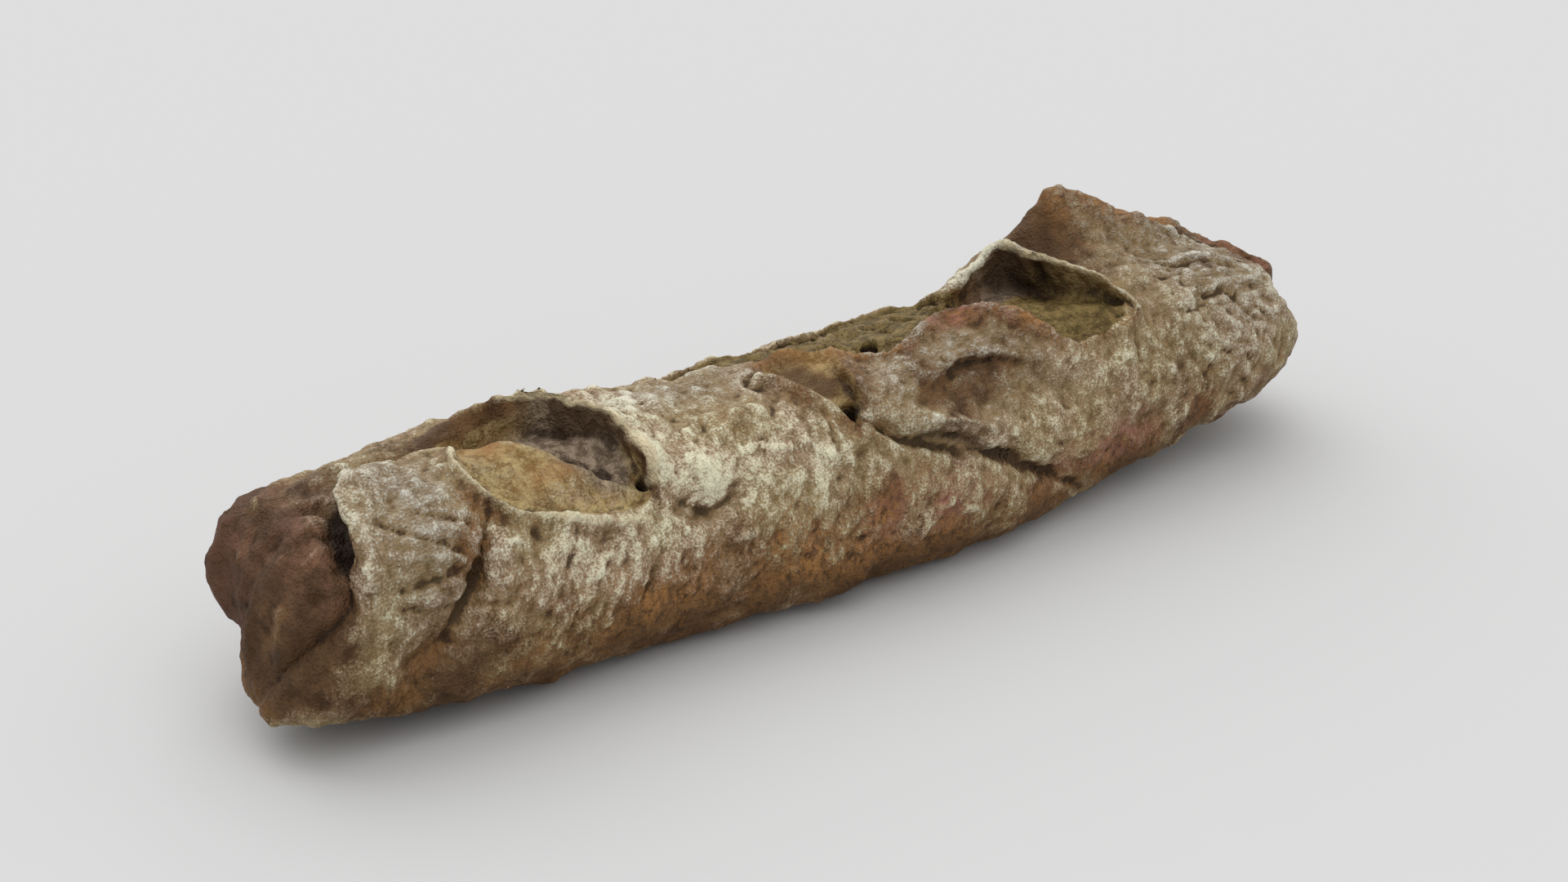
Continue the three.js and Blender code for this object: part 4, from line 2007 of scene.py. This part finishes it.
    def flour(self, g: Graph, seen: Patterns, base: bpy.types.NodeSocket) -> bpy.types.NodeSocket:
        """Dust the crust with flour, thickest on what stands proud.

        Args:
            g: The material's nodes.
            seen: The patterns.
            base: The colour under the flour.

        Returns:
            The colour with flour on it.
        """
        layers = [(g.layer(name), share) for name, share in self.cover_layers]
        dust = g.total(
            *layers,
            (seen.furrow, self.cover_furrow),
            (seen.crease, self.cover_crease),
            (seen.streak, self.dust_streak),
            (seen.grain, self.dust_fine),
            (seen.blotch, self.dust_blotch),
            (seen.grains, self.dust_grains),
        )
        dust = g.math("SUBTRACT", dust, self.cover_less)
        dull = g.mix(g.ease(seen.tint, self.dull_tint), self.blush_dull, self.cream_dull)
        dull = g.mix(seen.along, dull, self.grey_dull)
        white = g.mix(seen.along, self.cream_white, self.grey_white)
        powder = g.mix(g.ease(dust, self.white_dust), dull, white)
        return g.mix(g.ease(dust, self.dusted), base, powder)

    def marks(self, g: Graph, seen: Patterns, base: bpy.types.NodeSocket) -> bpy.types.NodeSocket:
        """Darken the crust where the dark layer says, paint shade into the furrows, hollows and crannies,
        and whiten the rims.

        Args:
            g: The material's nodes.
            seen: The patterns.
            base: The colour of the floured crust.

        Returns:
            The finished colour.
        """
        # Darker crust where the dark layer says; under the lips and in cavities this is painted shade.
        base = g.mix(g.ease(g.layer("dark"), self.darkened), base, self.deep)
        # Painted shade along the furrows.
        furrow, blotch = g.ease(seen.furrow, self.furrow_shade), g.ease(seen.blotch, self.furrow_blotch)
        base = g.mix(g.math("MULTIPLY", furrow, blotch), base, self.deep)
        # Painted shade in the cuts, pits, grooves and pore mouths.
        base = g.mix(g.ease(g.layer("hollow"), self.hollow), base, self.painted_shade_colour)
        rim = g.total((g.layer("edge"), 1), (seen.blotch, self.rim_blotch))
        base = g.mix(g.ease(rim, self.rim), base, self.edge)
        # Painted shade in the crannies: the lowest points of the fine relief.
        return g.mix(g.ease(g.layer("fine"), self.cranny_shade), base, self.painted_shade_colour)


# ---------------------------------------------------------------- the studio


def towards(azimuth: float, elevation: float) -> Vector:
    """The direction from the loaf to a viewer or a lamp; azimuth 0 is in front of it."""
    a, e = math.radians(azimuth), math.radians(elevation)
    return Vector((math.sin(a) * math.cos(e), -math.cos(a) * math.cos(e), math.sin(e)))


@dataclass(frozen=True)
class Sun:
    """A soft sun: where it shines from, how strongly, and how wide it is in degrees."""

    name: str
    azimuth: float
    elevation: float
    strength: float
    spread: float

    def build(self) -> None:
        """Add the sun."""
        bpy.ops.object.light_add(type="SUN")
        lamp = bpy.context.object
        lamp.name = self.name
        lamp.data.energy = self.strength
        lamp.data.angle = math.radians(self.spread)
        lamp.rotation_euler = towards(self.azimuth, self.elevation).to_track_quat("Z", "Y").to_euler()


@dataclass(frozen=True)
class Studio:
    """A plain pale floor, a pale surround, two soft suns and the camera."""

    azimuth: float = -37.0
    elevation: float = 24.0
    distance: float = 625.0
    aim: tuple[float, float, float] = (-13.3, -0.1, 33.6)
    lens: float = 54.375
    sensor: float = 36.0
    nearest_seen: float = 10.0
    farthest_seen: float = 100000.0
    floor_size: float = 16000.0
    floor_gap: float = 0.2
    floor_colour: Colour = (0.53, 0.53, 0.53)
    surround_colour: Colour = (1.0, 1.0, 1.0)
    surround_strength: float = 0.79
    suns: tuple[Sun, ...] = (Sun("key", 172, 52, 1.45, 75), Sun("fill", -10, 62, 0.8, 60))

    def build(self) -> None:
        """Make the floor, the lights and the camera."""
        self.floor()
        self.surround()
        for sun in self.suns:
            sun.build()
        self.camera()

    def floor(self) -> None:
        """Lay the floor, just under the loaf."""
        bpy.ops.object.select_all(action="DESELECT")
        place = (0, 0, -self.floor_gap * MM)
        bpy.ops.mesh.primitive_plane_add(size=self.floor_size * MM, location=place)
        floor = bpy.context.object
        floor.name = "floor"
        paint = bpy.data.materials.new("floor_paint")
        paint.use_nodes = True
        shader = paint.node_tree.nodes["Principled BSDF"]
        shader.inputs["Base Color"].default_value = (*self.floor_colour, 1)
        shader.inputs["Roughness"].default_value = 1.0
        shader.inputs["Specular IOR Level"].default_value = 0.0
        floor.data.materials.append(paint)

    def surround(self) -> None:
        """Light the loaf evenly from all sides."""
        world = bpy.data.worlds.new("surround")
        bpy.context.scene.world = world
        world.use_nodes = True
        background = world.node_tree.nodes["Background"]
        background.inputs["Color"].default_value = (*self.surround_colour, 1)
        background.inputs["Strength"].default_value = self.surround_strength

    def camera(self) -> None:
        """Stand the camera in front of the folded end, looking down along the loaf."""
        back = towards(self.azimuth, self.elevation)
        bpy.ops.object.camera_add(location=(Vector(self.aim) + back * self.distance) * MM)
        camera = bpy.context.object
        camera.name = "camera"
        camera.rotation_euler = back.to_track_quat("Z", "Y").to_euler()
        camera.data.lens = self.lens
        camera.data.sensor_width = self.sensor
        camera.data.clip_start = self.nearest_seen * MM
        camera.data.clip_end = self.farthest_seen * MM
        bpy.context.scene.camera = camera


def main() -> None:
    """Build the loaf and the studio."""
    logging.basicConfig(level=logging.INFO, format="%(name)s: %(message)s")
    low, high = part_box(NODE)
    bar = Bar(folded_end=low.x / MM + FOLDED_INSET, eared_end=high.x / MM - EARED_INSET)
    loaf = Loaf(bar).build()
    loaf.data.materials.clear()
    loaf.data.materials.append(CrustFinish().material())
    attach(loaf, BODY)
    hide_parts(NODE)
    Studio().build()
    bpy.context.scene.view_settings.view_transform = "Standard"


if __name__ == "__main__":
    main()
